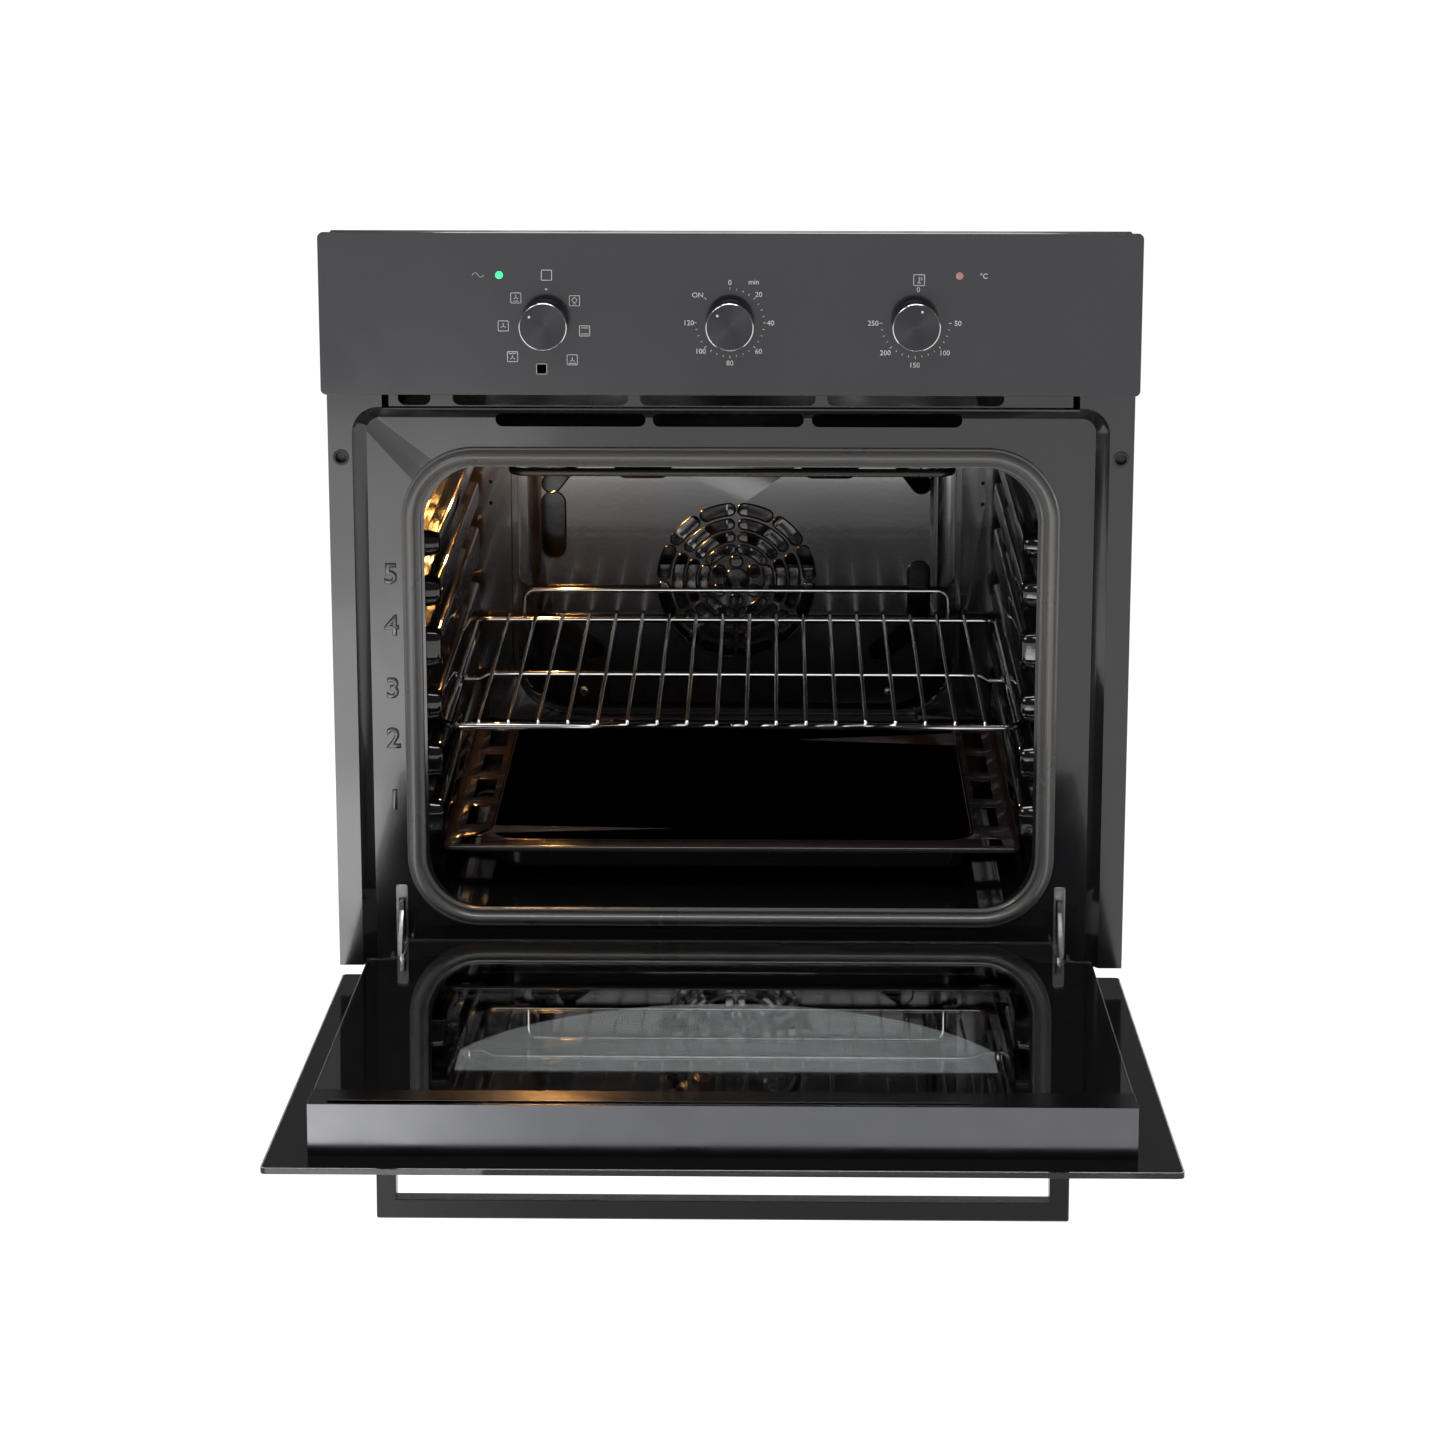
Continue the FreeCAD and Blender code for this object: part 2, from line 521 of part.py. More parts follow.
hub = cyl_z(0, blower_y, 64, duct_z0 + 3, duct_z0 + 4.2)
drum = cyl_z(0, blower_y, 66, duct_z0 + 3, duct_z1 - 3).cut(cyl_z(0, blower_y, 62.5, duct_z0, duct_z1))
wheel = [hub]
for n in range(24):
    blade = box(61.0, 65.0, -0.6, 0.6, duct_z0 + 3, duct_z1 - 3)
    blade.rotate(vec(0, 0, 0), vec(0, 0, 1), 15 * n)
    blade.translate(vec(0, blower_y, 0))
    wheel.append(blade)
top_ring = cyl_z(0, blower_y, 65, duct_z1 - 4.2, duct_z1 - 3).cut(cyl_z(0, blower_y, 58, duct_z0, duct_z1))
wheel.append(top_ring)
wheel.append(cyl_z(0, blower_y, 7, duct_z0 + 3, duct_z1 - 4))
wheel.append(cyl_z(0, blower_y, 3, duct_z0 + 3, duct_z1 + 20))
nodes["blower_wheel"] = fused(wheel)
motor = box(-28, 28, blower_y - 22, blower_y + 22, duct_z1 + 10, duct_z1 + 50)
motor = motor.cut(cyl_z(0, blower_y, 3 + running_clear, duct_z1 + 5, duct_z1 + 24))
for s in (-1, 1):
    motor = motor.fuse(box(s * 60 - 35, s * 60 + 35, blower_y - 6, blower_y + 6, duct_z1 + 10, duct_z1 + 11.5))
    motor = motor.fuse(box(s * 80 - 1, s * 80 + 1, blower_y - 6, blower_y + 6, duct_z1 + 1, duct_z1 + 11.5))
nodes["blower_motor"] = motor.removeSplitter()
cut = cyl_z(90 * kx, blower_y - 60, 8, duct_z1 + 1, duct_z1 + 11)
cut = cut.fuse(box(90 * kx - 12, 90 * kx + 12, blower_y - 66, blower_y - 54, duct_z1 + 1, duct_z1 + 2.2))
nodes["thermal_cutout"] = cut.removeSplitter()

# ---------------------------------------------------------------- hot-air fan
blades = [cyl_y(0, fan_z, 30, fan_y, fan_y + 1.2)]
for n in range(8):
    blade = box(-9, 9, fan_y, fan_y + 1.2, 26, 66)
    flap = box(-9, -7.6, fan_y - 11, fan_y + 1.2, 26, 66)
    blade = blade.fuse(flap)
    blade.rotate(vec(0, 0, 0), vec(0, 1, 0), 45 * n)
    blade.translate(vec(0, 0, fan_z))
    blades.append(blade)
blades.append(cyl_y(0, fan_z, 7, fan_y - 5, fan_y + 6))
blades.append(cyl_y(0, fan_z, 3.5, fan_y, chamber_y + 22))
nodes["fan_wheel"] = fused(blades)
fan_motor = box(-34, 34, chamber_y + 10, chamber_y + 48, fan_z - 30, fan_z + 30)
fan_motor = fan_motor.cut(cyl_y(0, fan_z, 3.5 + running_clear, chamber_y + 5, chamber_y + 26))
for s in (-1, 1):
    fan_motor = fan_motor.fuse(box(s * 39 - 7, s * 39 + 7, chamber_y + 10, chamber_y + 12, fan_z - 6, fan_z + 6))
    fan_motor = fan_motor.fuse(box(s * 45 - 1, s * 45 + 1, chamber_y + sheet_t, chamber_y + 12, fan_z - 6, fan_z + 6))
nodes["fan_motor"] = fan_motor.removeSplitter()

block = box(190 * kx, 250 * kx, carcass_depth - 52, carcass_depth - 22, rear_top - 62, rear_top - 28)
for n in range(5):
    x = (190 + 10) * kx + 10 * kx * n
    block = block.cut(cyl_y(x, rear_top - 45, 3, carcass_depth - 53, carcass_depth - 40))
foot = box(190 * kx, 250 * kx, carcass_depth - 22, carcass_depth, rear_top - 62, rear_top - 60)
nodes["terminal_block"] = fused([block, foot])

# ---------------------------------------------------------------- control panel
fy0 = -door_depth
fy1 = fy0 + glass_t
fglass = slab(-half, half, fascia_bottom, fascia_top, 4, fy0, fy1)
for x in knob_x:
    fglass = fglass.cut(cyl_y(x, axis_z, 4.5, fy0 - 1, fy1 + 1))
nodes["fascia_glass"] = fglass
tray_x = half - 6
carrier = box(-tray_x, tray_x, fy1, 0, fascia_bottom + 4, fascia_top - 3)
carrier = carrier.cut(box(-tray_x + sheet_t, tray_x - sheet_t, fy1 + sheet_t, 1, fascia_bottom + 4 + sheet_t,
                          fascia_top - 3 - sheet_t))
for x in knob_x:
    carrier = carrier.cut(cyl_y(x, axis_z, 6, fy1 - 1, fy1 + 3))
lens_z = axis_z + 34.5 * fascia_height / 118.5
for x in (-166.5 * kx, 165.5 * kx):
    carrier = carrier.cut(cyl_y(x, lens_z, 2.9, fy1 - 1, fy1 + 3))
lug = box(-tray_x + sheet_t, -tray_x + 14, -1.2, 0, fascia_bottom + 14, fascia_top - 14)
carrier = fused([carrier, lug, flipped(lug)])
nodes["fascia_carrier"] = carrier
for name, x in (("power_lens", -166.5 * kx), ("heating_lens", 165.5 * kx)):
    shape = cyl_y(x, lens_z, 2.6, fy1, fy1 + 14)
    shape = shape.fuse(cyl_y(x, lens_z, 4.0, fy1 + sheet_t, fy1 + 3.2))
    nodes[name] = shape.removeSplitter()

shaft_r = 3.0
for name, x, w, d in (("selector_switch", knob_x[0], 21, 34), ("timer", knob_x[1], 25, 40), ("thermostat", knob_x[2], 20, 30)):
    back_y = 2 * sheet_t
    shape = box(x - w, x + w, back_y, back_y + d, axis_z - w, axis_z + w)
    shape = shape.fuse(cyl_y(x, axis_z, 5.5, -9, back_y))
    shape = shape.cut(cyl_y(x, axis_z, shaft_r + running_clear, -12, back_y + 14))
    nodes[name] = shape.removeSplitter()
knob_names = (("selector", -53.0), ("timer", -46.0), ("thermostat", 19.0))
for (name, turn), x in zip(knob_names, knob_x):
    y0 = fy0 - knob_clear - knob_length
    shape = cyl_y(x, axis_z, knob_r, y0 + 1.2, fy0 - knob_clear)
    shape = shape.fuse(Part.makeCone(knob_r - 1.2, knob_r, 1.2, vec(x, y0, axis_z), vec(0, 1, 0)))
    bore = cyl_y(x, axis_z, shaft_r, y0 + 8, fy0)
    shape = shape.cut(bore)
    shape = shape.cut(cyl_y(x, axis_z, knob_r - 2.5, fy0 - knob_clear - 9, fy0).cut(cyl_y(x, axis_z, 6, -80, 0)))
    a = math.radians(turn)
    dot = cyl_y(x + 12.2 * math.sin(a), axis_z + 12.2 * math.cos(a), 1.1, y0 - 1, y0 + 0.3)
    nodes[name + "_knob"] = shape.cut(dot)
    nodes[name + "_shaft"] = cyl_y(x, axis_z, shaft_r, y0 + 8, 12)

# ---------------------------------------------------------------- hinges, fixed side
receiver = slab(hinge_x - 4.4, hinge_x + 4.4, door_bottom + 30.7, door_bottom + 87.2, 2, recess_depth - 1.2, recess_depth)
channel_box = box(hinge_x - 3.5, hinge_x + 3.5, recess_depth - 0.6, 62, door_bottom + 40, door_bottom + 78)
channel_box = channel_box.cut(box(hinge_x - 2.3, hinge_x + 2.3, 0, 60, door_bottom + 41.2, door_bottom + 76.8))
receiver = receiver.cut(box(hinge_x - 2.3, hinge_x + 2.3, 0, 60, door_bottom + 41.2, door_bottom + 76.8))
receiver = fused([receiver, channel_box])
nodes["hinge_receiver_right"] = receiver
nodes["hinge_receiver_left"] = flipped(receiver)
hy = pivot_y
hz = pivot_z
profile = [(hy - 5, hz + 4.6), (hy + 5.4, hz - 4.2), (hy + 17, hz + 8), (hy + 24.4, hz + 14), (56, hz + 14),
           (56, hz + 32), (hy + 30, hz + 32), (hy + 22, hz + 44), (hy + 16, hz + 43.5), (hy + 18, hz + 36), (hy + 8, hz + 24)]
arm = prism_x(profile, hinge_x - 1.5, hinge_x + 1.5)
arm = arm.fuse(cyl_x(hy, hz, 6.6, hinge_x - 1.5, hinge_x + 1.5))
arm = arm.fuse(cyl_x(hy, hz, hinge_pin_r, hinge_x - 7, hinge_x + 7))
arm = arm.removeSplitter()
nodes["hinge_arm_right"] = arm
nodes["hinge_arm_left"] = flipped(arm)

# ---------------------------------------------------------------- door, drawn shut
door = {}
pane = slab(-half, half, door_bottom, door_top, 4, fy0, fy1)
hx = handle_width / 2.0 * kx
handle_z1 = door_top - 38
handle_z0 = handle_z1 - handle_section_z
post_x = hx - handle_section_x / 2.0
post_z = (handle_z0 + handle_z1) / 2.0
for s in (-1, 1):
    pane = pane.cut(cyl_y(s * post_x, post_z, 3.0, fy0 - 1, fy1 + 1))
door["outer_glass"] = pane

trim_low = body_top - 32
outline = [(fy1, door_bottom + 5.5), (fy1 + 3.5, door_bottom + 5.5), (fy1 + 20, door_bottom + 21.5),
           (-1.2, door_bottom + 25.5), (-1.2, trim_low), (fy1, trim_low)]
t = sheet_t
inline = [(fy1 - 1, door_bottom + 5.5 + t), (fy1 + 3.0, door_bottom + 5.5 + t), (fy1 + 20, door_bottom + 21.5 + 1.6 * t),
          (-1.2 + 5, door_bottom + 25.5 + t), (-1.2 + 5, trim_low + 5), (fy1 - 1, trim_low + 5)]
body = prism_x(outline, -body_half, body_half)
hollow = prism_x(inline, -body_half + t, body_half - t)
hollow = hollow.common(box(-half, half, fy1 - 2, -1.2 - t, 0, door_top))
body = body.cut(hollow)
body = body.cut(slab(-body_half + 40, body_half - 40, door_bottom + 70, trim_low + 80, 12, -1.2 - 2 * t, 5))
glue = slab(-body_half + t, body_half - t, door_bottom + 12, trim_low, 3, fy1, fy1 + t)
glue = glue.cut(slab(-body_half + 32, body_half - 32, door_bottom + 60, trim_low + 60, 3, fy1 - 1, fy1 + 2 * t))
body = fused([body, glue])
notch = slab(body_half - 26.6, body_half + 40, door_bottom - 40, door_bottom + 81.5, 18, fy1 + 2 * t, 10)
body = body.cut(notch).cut(flipped(notch))
door["door_carrier"] = body

inner = slab(-body_half + 0.6, body_half - 0.6, door_bottom + 26.5, trim_low, 3, inner_face_y - glass_t, inner_face_y)
inner = inner.cut(notch).cut(flipped(notch))
door["inner_glass"] = inner
mid = slab(-body_half + 48, body_half - 48, door_bottom + 60, trim_low - 12, 3, fy1 + 13, fy1 + 16)
door["mid_glass"] = mid
clips = []
for s in (-1, 1):
    for z in (door_bottom + 90, trim_low - 60):
        a, b = sorted((s * (body_half - 49), s * (body_half - 33)))
        clip = box(a, b, fy1 + t, fy1 + 19, z, z + 22)
        c0, c1 = sorted((s * (body_half - 60), s * (body_half - 48)))
        clip = clip.cut(box(c0, c1, fy1 + 13, fy1 + 16, z - 1, z + 23))
        clips.append(clip)
door["glass_brackets"] = Part.makeCompound(clips)

trim = box(-body_half, body_half, fy1, inner_face_y, trim_low, body_top)
trim = trim.cut(box(-body_half + 1.6, body_half - 1.6, fy1 + 1.6, inner_face_y - 1.6, trim_low - 1, body_top - 1.6))
for x, w in ((-206.0, 102.0), (-101.8, 103.0), (3.5, 102.0), (109.0, 105.0), (207.0, 30.0)):
    if w > 50:
        trim = trim.cut(box((x - w / 2) * kx, (x + w / 2) * kx, inner_face_y - 3, inner_face_y + 1, body_top - 9.5, body_top - 2.8))
for s in (-1, 1):
    trim = trim.cut(cyl_y(s * post_x, post_z, 5.3, fy1 - 1, fy1 + 2))
door["top_trim"] = trim.removeSplitter()

hb = box(hinge_x - 6, hinge_x + 6, fy1 + t, fy1 + 26, hz - 8, hz + 150)
hb = hb.cut(box(hinge_x - 4.6, hinge_x + 4.6, fy1 + t + 1.4, fy1 + 30, hz - 20, hz + 148.6))
nose = cyl_x(hy, hz, 8.6, hinge_x - 6, hinge_x - 4.6).fuse(cyl_x(hy, hz, 8.6, hinge_x + 4.6, hinge_x + 6))
hb = hb.cut(box(hinge_x - 8, hinge_x + 8, hy, 5, hz - 20, hz))
hb = hb.cut(box(hinge_x - 8, hinge_x + 8, hy + 8.6, 5, hz - 20, hz + 40))
hb = hb.fuse(nose)
hb = hb.cut(cyl_x(hy, hz, hinge_pin_r + running_clear, hinge_x - 8, hinge_x + 8))
hb = hb.cut(box(hinge_x - 8, hinge_x + 8, -80, fy1 + t, 0, hz + 200))
hb = hb.removeSplitter()
door["hinge_body_right"] = hb
door["hinge_body_left"] = flipped(hb)

bar_y0 = fy0 - handle_standoff
bar = box(-hx, hx, bar_y0, fy0, handle_z0, handle_z1)
bar = bar.cut(box(-hx + handle_section_x, hx - handle_section_x, bar_y0 + handle_section_x, fy0 + 1, handle_z0 - 1, handle_z1 + 1))
long_edges = [e for e in bar.Edges if e.BoundBox.YMax < bar_y0 + 0.01 or (e.BoundBox.XLength < 0.01 and
              e.BoundBox.YLength > 20 and abs(abs(e.BoundBox.XMax) - hx) < 0.01)]
bar = bar.makeChamfer(1.0, long_edges)
for s in (-1, 1):
    bar = bar.cut(cyl_y(s * post_x, post_z, 2.2, fy0 - 16, fy0 + 1))
door["handle"] = bar
bolts = []
for s in (-1, 1):
    bolts.append(cyl_y(s * post_x, post_z, 2.0, fy0 - 15, fy1).fuse(cyl_y(s * post_x, post_z, 5, fy1, fy1 + 1.2)).removeSplitter())
door["handle_screws"] = Part.makeCompound(bolts)
for name, shape in door.items():
    shape.rotate(vec(0, pivot_y, pivot_z), vec(1, 0, 0), door_open_deg)
    nodes[name] = shape

# ---------------------------------------------------------------- shelf and tray
sx = mouth_half - 2.5 - shelf_rod_r
s0 = cavity_front + 65
s1 = cavity_back_y - 8
rail_z = ledge[2] + shelf_clear + shelf_rod_r
wire_z = rail_z + shelf_rod_r + shelf_wire_r - 0.3
rods = [cyl_x(s0, rail_z, shelf_rod_r, -sx, sx), cyl_x(s1, rail_z, shelf_rod_r, -sx, sx)]
for s in (-1, 1):
    rods.append(cyl_y(s * sx, rail_z, shelf_rod_r, s0, s1))
    for y in (s0, s1):
        rods.append(Part.makeSphere(shelf_rod_r, vec(s * sx, y, rail_z)))
cross_y = s0 + 0.46 * (s1 - s0)
rods.append(cyl_x(cross_y, rail_z, shelf_rod_r - 0.4, -sx, sx))
pitch = 391.0 * kx / (shelf_wire_count - 1)
for n in range(shelf_wire_count):
    x = (n - (shelf_wire_count - 1) / 2.0) * pitch
    rods.append(cyl_y(x, wire_z, shelf_wire_r, s0, s1))
gx = 182 * kx
guard_z = wire_z + 22
rods.append(rod([(-gx, s1, rail_z), (-gx, s1, guard_z), (gx, s1, guard_z), (gx, s1, rail_z)], 2.2))
nodes["wire_shelf"] = fused(rods)

tx = mouth_half - 4.5
t0 = cavity_front + 48
t1 = cavity_back_y - 6
rim_z = ledge[0] + 5.0
well_x = 187 * kx
plan = box(-tx, tx, t0, t1, ledge[0] + tray_clear, rim_z)
plan = plan.cut(box(-tx + 1.2, tx - 1.2, t0 + 1.2, t1 - 1.2, 0, rim_z - 1.2))
well = box(-well_x - 1.0, well_x + 1.0, t0 + 17, t1 - 12, rim_z - tray_depth, rim_z)
uprights = [e for e in well.Edges if e.BoundBox.ZLength > 5]
well = well.makeFillet(26, uprights)
hole = box(-well_x, well_x, t0 + 18, t1 - 13, rim_z - tray_depth + 1.0, rim_z + 5)
uprights = [e for e in hole.Edges if e.BoundBox.ZLength > 5]
hole = hole.makeFillet(25, uprights)
tray = fused([plan, well]).cut(hole)
y_first = t1 - 54
for n in range(5):
    run = 52.0
    if n == 4:
        run = 20.0
    yc = y_first - n * (t1 - t0 - 84) / 3.72
    if n == 4:
        yc = t0 + 16
    for s in (-1, 1):
        tray = tray.cut(box(s * 202 * kx - 8, s * 202 * kx + 8, yc - run / 2, yc + run / 2, rim_z - 3, rim_z + 1))
nodes["baking_tray"] = tray

# ---------------------------------------------------------------- the origin is the middle of the base's underside
base_middle = (22 + carcass_depth) / 2.0
for name, shape in nodes.items():
    shape.translate(vec(0, -base_middle, 0))
    shape.exportStep("parts/%s.step" % name)
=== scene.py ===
"""Looks of a built-in oven with a drop-down door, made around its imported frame.

Lengths are metres on the frame's own axes: X to the right, Y to the back, Z up.
"""

import sys
import json
import logging
import math
from dataclasses import dataclass, field, replace
from enum import Enum
from typing import Any, Callable, Optional, Sequence

import bmesh
import bpy
from bmesh.types import BMEdge, BMesh, BMVert
from mathutils import Matrix, Vector

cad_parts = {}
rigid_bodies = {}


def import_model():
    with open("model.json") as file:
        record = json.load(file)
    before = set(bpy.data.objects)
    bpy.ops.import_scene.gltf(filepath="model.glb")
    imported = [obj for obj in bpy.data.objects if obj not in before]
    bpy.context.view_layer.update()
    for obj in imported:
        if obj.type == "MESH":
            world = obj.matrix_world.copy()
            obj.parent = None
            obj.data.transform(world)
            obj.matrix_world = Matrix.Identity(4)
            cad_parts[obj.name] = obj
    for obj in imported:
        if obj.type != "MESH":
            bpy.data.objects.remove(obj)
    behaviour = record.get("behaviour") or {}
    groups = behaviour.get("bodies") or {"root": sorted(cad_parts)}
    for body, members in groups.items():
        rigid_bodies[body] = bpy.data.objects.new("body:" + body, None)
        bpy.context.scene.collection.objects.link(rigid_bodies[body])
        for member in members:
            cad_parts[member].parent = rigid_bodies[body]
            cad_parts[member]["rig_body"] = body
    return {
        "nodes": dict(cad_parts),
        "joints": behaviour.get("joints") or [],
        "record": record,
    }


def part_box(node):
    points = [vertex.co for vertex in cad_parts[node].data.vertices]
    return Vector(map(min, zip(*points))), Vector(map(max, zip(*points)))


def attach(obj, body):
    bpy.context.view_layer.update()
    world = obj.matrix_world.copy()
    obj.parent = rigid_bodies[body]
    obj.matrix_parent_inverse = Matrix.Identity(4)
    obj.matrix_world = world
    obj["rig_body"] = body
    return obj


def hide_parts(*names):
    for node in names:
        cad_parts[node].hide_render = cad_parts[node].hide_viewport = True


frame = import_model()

LOG = logging.getLogger("wall_oven")
MM = 0.001
FRONT = Matrix(((1, 0, 0, 0), (0, 0, 1, 0), (0, 1, 0, 0), (0, 0, 0, 1)))
SIDE = Matrix(((0, 0, 1, 0), (1, 0, 0, 0), (0, 1, 0, 0), (0, 0, 0, 1)))
PLAN = Matrix.Identity(4)
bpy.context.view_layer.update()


# ---------------------------------------------------------------- shading
class Sheet:
    """A node tree with short calls to add and join nodes."""

    def __init__(self, tree: bpy.types.NodeTree) -> None:
        """Keeps the tree and clears it."""
        self.tree = tree
        tree.nodes.clear()

    def add(self, kind: str, sockets: Optional[dict[str, Any]] = None, **settings: Any) -> bpy.types.Node:
        """Adds a node.

        Args:
            kind: The node's class name without the ShaderNode prefix.
            sockets: Values, or output sockets to join, for its inputs by name.
            settings: Values for the node's own properties.

        Returns:
            The new node.
        """
        node = self.tree.nodes.new(kind if kind.startswith("NodeGroup") else "ShaderNode" + kind)
        for name, value in settings.items():
            setattr(node, name, value)
        for name, value in (sockets or {}).items():
            target = node.inputs[name]
            if isinstance(value, bpy.types.NodeSocket):
                self.tree.links.new(value, target)
            else:
                target.default_value = value
        return node

    def maths(self, operation: str, first: Any, second: Any = 0.0) -> bpy.types.NodeSocket:
        """Adds a Math node.

        Args:
            operation: The Math node's operation.
            first: A number or a socket.
            second: A number or a socket.

        Returns:
            Its output socket.
        """
        node = self.add("Math", operation=operation)
        for target, value in zip(node.inputs, (first, second)):
            if isinstance(value, bpy.types.NodeSocket):
                self.tree.links.new(value, target)
            else:
                target.default_value = value
        return node.outputs[0]


class Effect(Enum):
    """Shared surface effects, each a shader node group."""

    PEEL = "orange_peel"
    SMUDGE = "smudge"
    BRUSH = "brush_lines"
    SPANGLE = "spangle"
    RINGS = "spun_rings"
    FLECK = "fleck"


class EffectLibrary:
    """Builds each shared node group once."""

    def __init__(self) -> None:
        """Starts with no group built."""
        self.built: dict[Effect, bpy.types.NodeTree] = {}

    def get(self, effect: Effect) -> bpy.types.NodeTree:
        """Returns an effect's node group.

        Args:
            effect: The effect wanted.

        Returns:
            The group, built at the first call.
        """
        if effect not in self.built:
            self.built[effect] = self._build(effect)
        return self.built[effect]

    def _build(self, effect: Effect) -> bpy.types.NodeTree:
        """Builds one group: Vector and Scale in, Value and Height out.

        Args:
            effect: The effect wanted.

        Returns:
            The new group.
        """
        tree = bpy.data.node_groups.new(effect.value, "ShaderNodeTree")
        tree.interface.new_socket("Vector", in_out="INPUT", socket_type="NodeSocketVector")
        scale = tree.interface.new_socket("Scale", in_out="INPUT", socket_type="NodeSocketFloat")
        scale.default_value = 100.0
        tree.interface.new_socket("Value", in_out="OUTPUT", socket_type="NodeSocketFloat")
        tree.interface.new_socket("Height", in_out="OUTPUT", socket_type="NodeSocketFloat")
        sheet = Sheet(tree)
        source = sheet.add("NodeGroupInput").outputs
        vector, size = source["Vector"], source["Scale"]
        value, height = getattr(self, "_" + effect.name.lower())(sheet, vector, size)
        sheet.add("NodeGroupOutput", {"Value": value, "Height": height})
        return tree

    @staticmethod
    def _peel(sheet: Sheet, vector: Any, size: Any) -> tuple[Any, Any]:
        """Fine ripple of a fired or sprayed coat over a slow wave."""
        fine = sheet.add("TexNoise", {"Vector": vector, "Scale": size, "Detail": 2.0}).outputs["Fac"]
        slow = sheet.maths("MULTIPLY", size, 0.07)
        wave = sheet.add("TexNoise", {"Vector": vector, "Scale": slow, "Detail": 3.0}).outputs["Fac"]
        return wave, sheet.maths("ADD", fine, sheet.maths("MULTIPLY", wave, 2.2))

    @staticmethod
    def _smudge(sheet: Sheet, vector: Any, size: Any) -> tuple[Any, Any]:
        """Handling marks: soft patches with finer broken edges."""
        patch = sheet.add("TexNoise", {"Vector": vector, "Scale": size, "Detail": 6.0, "Distortion": 1.4})
        ramp = sheet.add("MapRange", {"Value": patch.outputs["Fac"], "From Min": 0.35, "From Max": 0.7})
        return ramp.outputs["Result"], patch.outputs["Fac"]

    @staticmethod
    def _brush(sheet: Sheet, vector: Any, size: Any) -> tuple[Any, Any]:
        """Long fine lines along X."""
        long = sheet.add("VectorMath", {0: vector, 1: (0.02, 1.0, 1.0)}, operation="MULTIPLY")
        lines = sheet.add("TexNoise", {"Vector": long.outputs[0], "Scale": size, "Detail": 4.0})
        return lines.outputs["Fac"], lines.outputs["Fac"]

    @staticmethod
    def _spangle(sheet: Sheet, vector: Any, size: Any) -> tuple[Any, Any]:
        """Flat crystals of a hot-dipped zinc coat."""
        cell = sheet.add("TexVoronoi", {"Vector": vector, "Scale": size, "Randomness": 1.0})
        tone = sheet.add("SeparateColor", {"Color": cell.outputs["Color"]}).outputs[0]
        fine = sheet.add("TexNoise", {"Vector": vector, "Scale": size, "Detail": 8.0}).outputs["Fac"]
        return sheet.maths("ADD", sheet.maths("MULTIPLY", tone, 0.7), sheet.maths("MULTIPLY", fine, 0.3)), fine

    @staticmethod
    def _rings(sheet: Sheet, vector: Any, size: Any) -> tuple[Any, Any]:
        """Fine turned grooves round the Y axis."""
        rings = sheet.add("TexWave", {"Vector": vector, "Scale": size, "Distortion": 0.6, "Detail": 2.0},
                          wave_type="RINGS", rings_direction="Y")
        return rings.outputs["Fac"], rings.outputs["Fac"]

    @staticmethod
    def _fleck(sheet: Sheet, vector: Any, size: Any) -> tuple[Any, Any]:
        """Moulding grain with scattered pale flecks."""
        grain = sheet.add("TexNoise", {"Vector": vector, "Scale": size, "Detail": 5.0, "Roughness": 0.7})
        dots = sheet.add("TexVoronoi", {"Vector": vector, "Scale": sheet.maths("MULTIPLY", size, 0.6)})
        near = sheet.add("MapRange", {"Value": dots.outputs["Distance"], "From Min": 0.0, "From Max": 0.22,
                                      "To Min": 1.0, "To Max": 0.0})
        return near.outputs["Result"], grain.outputs["Fac"]


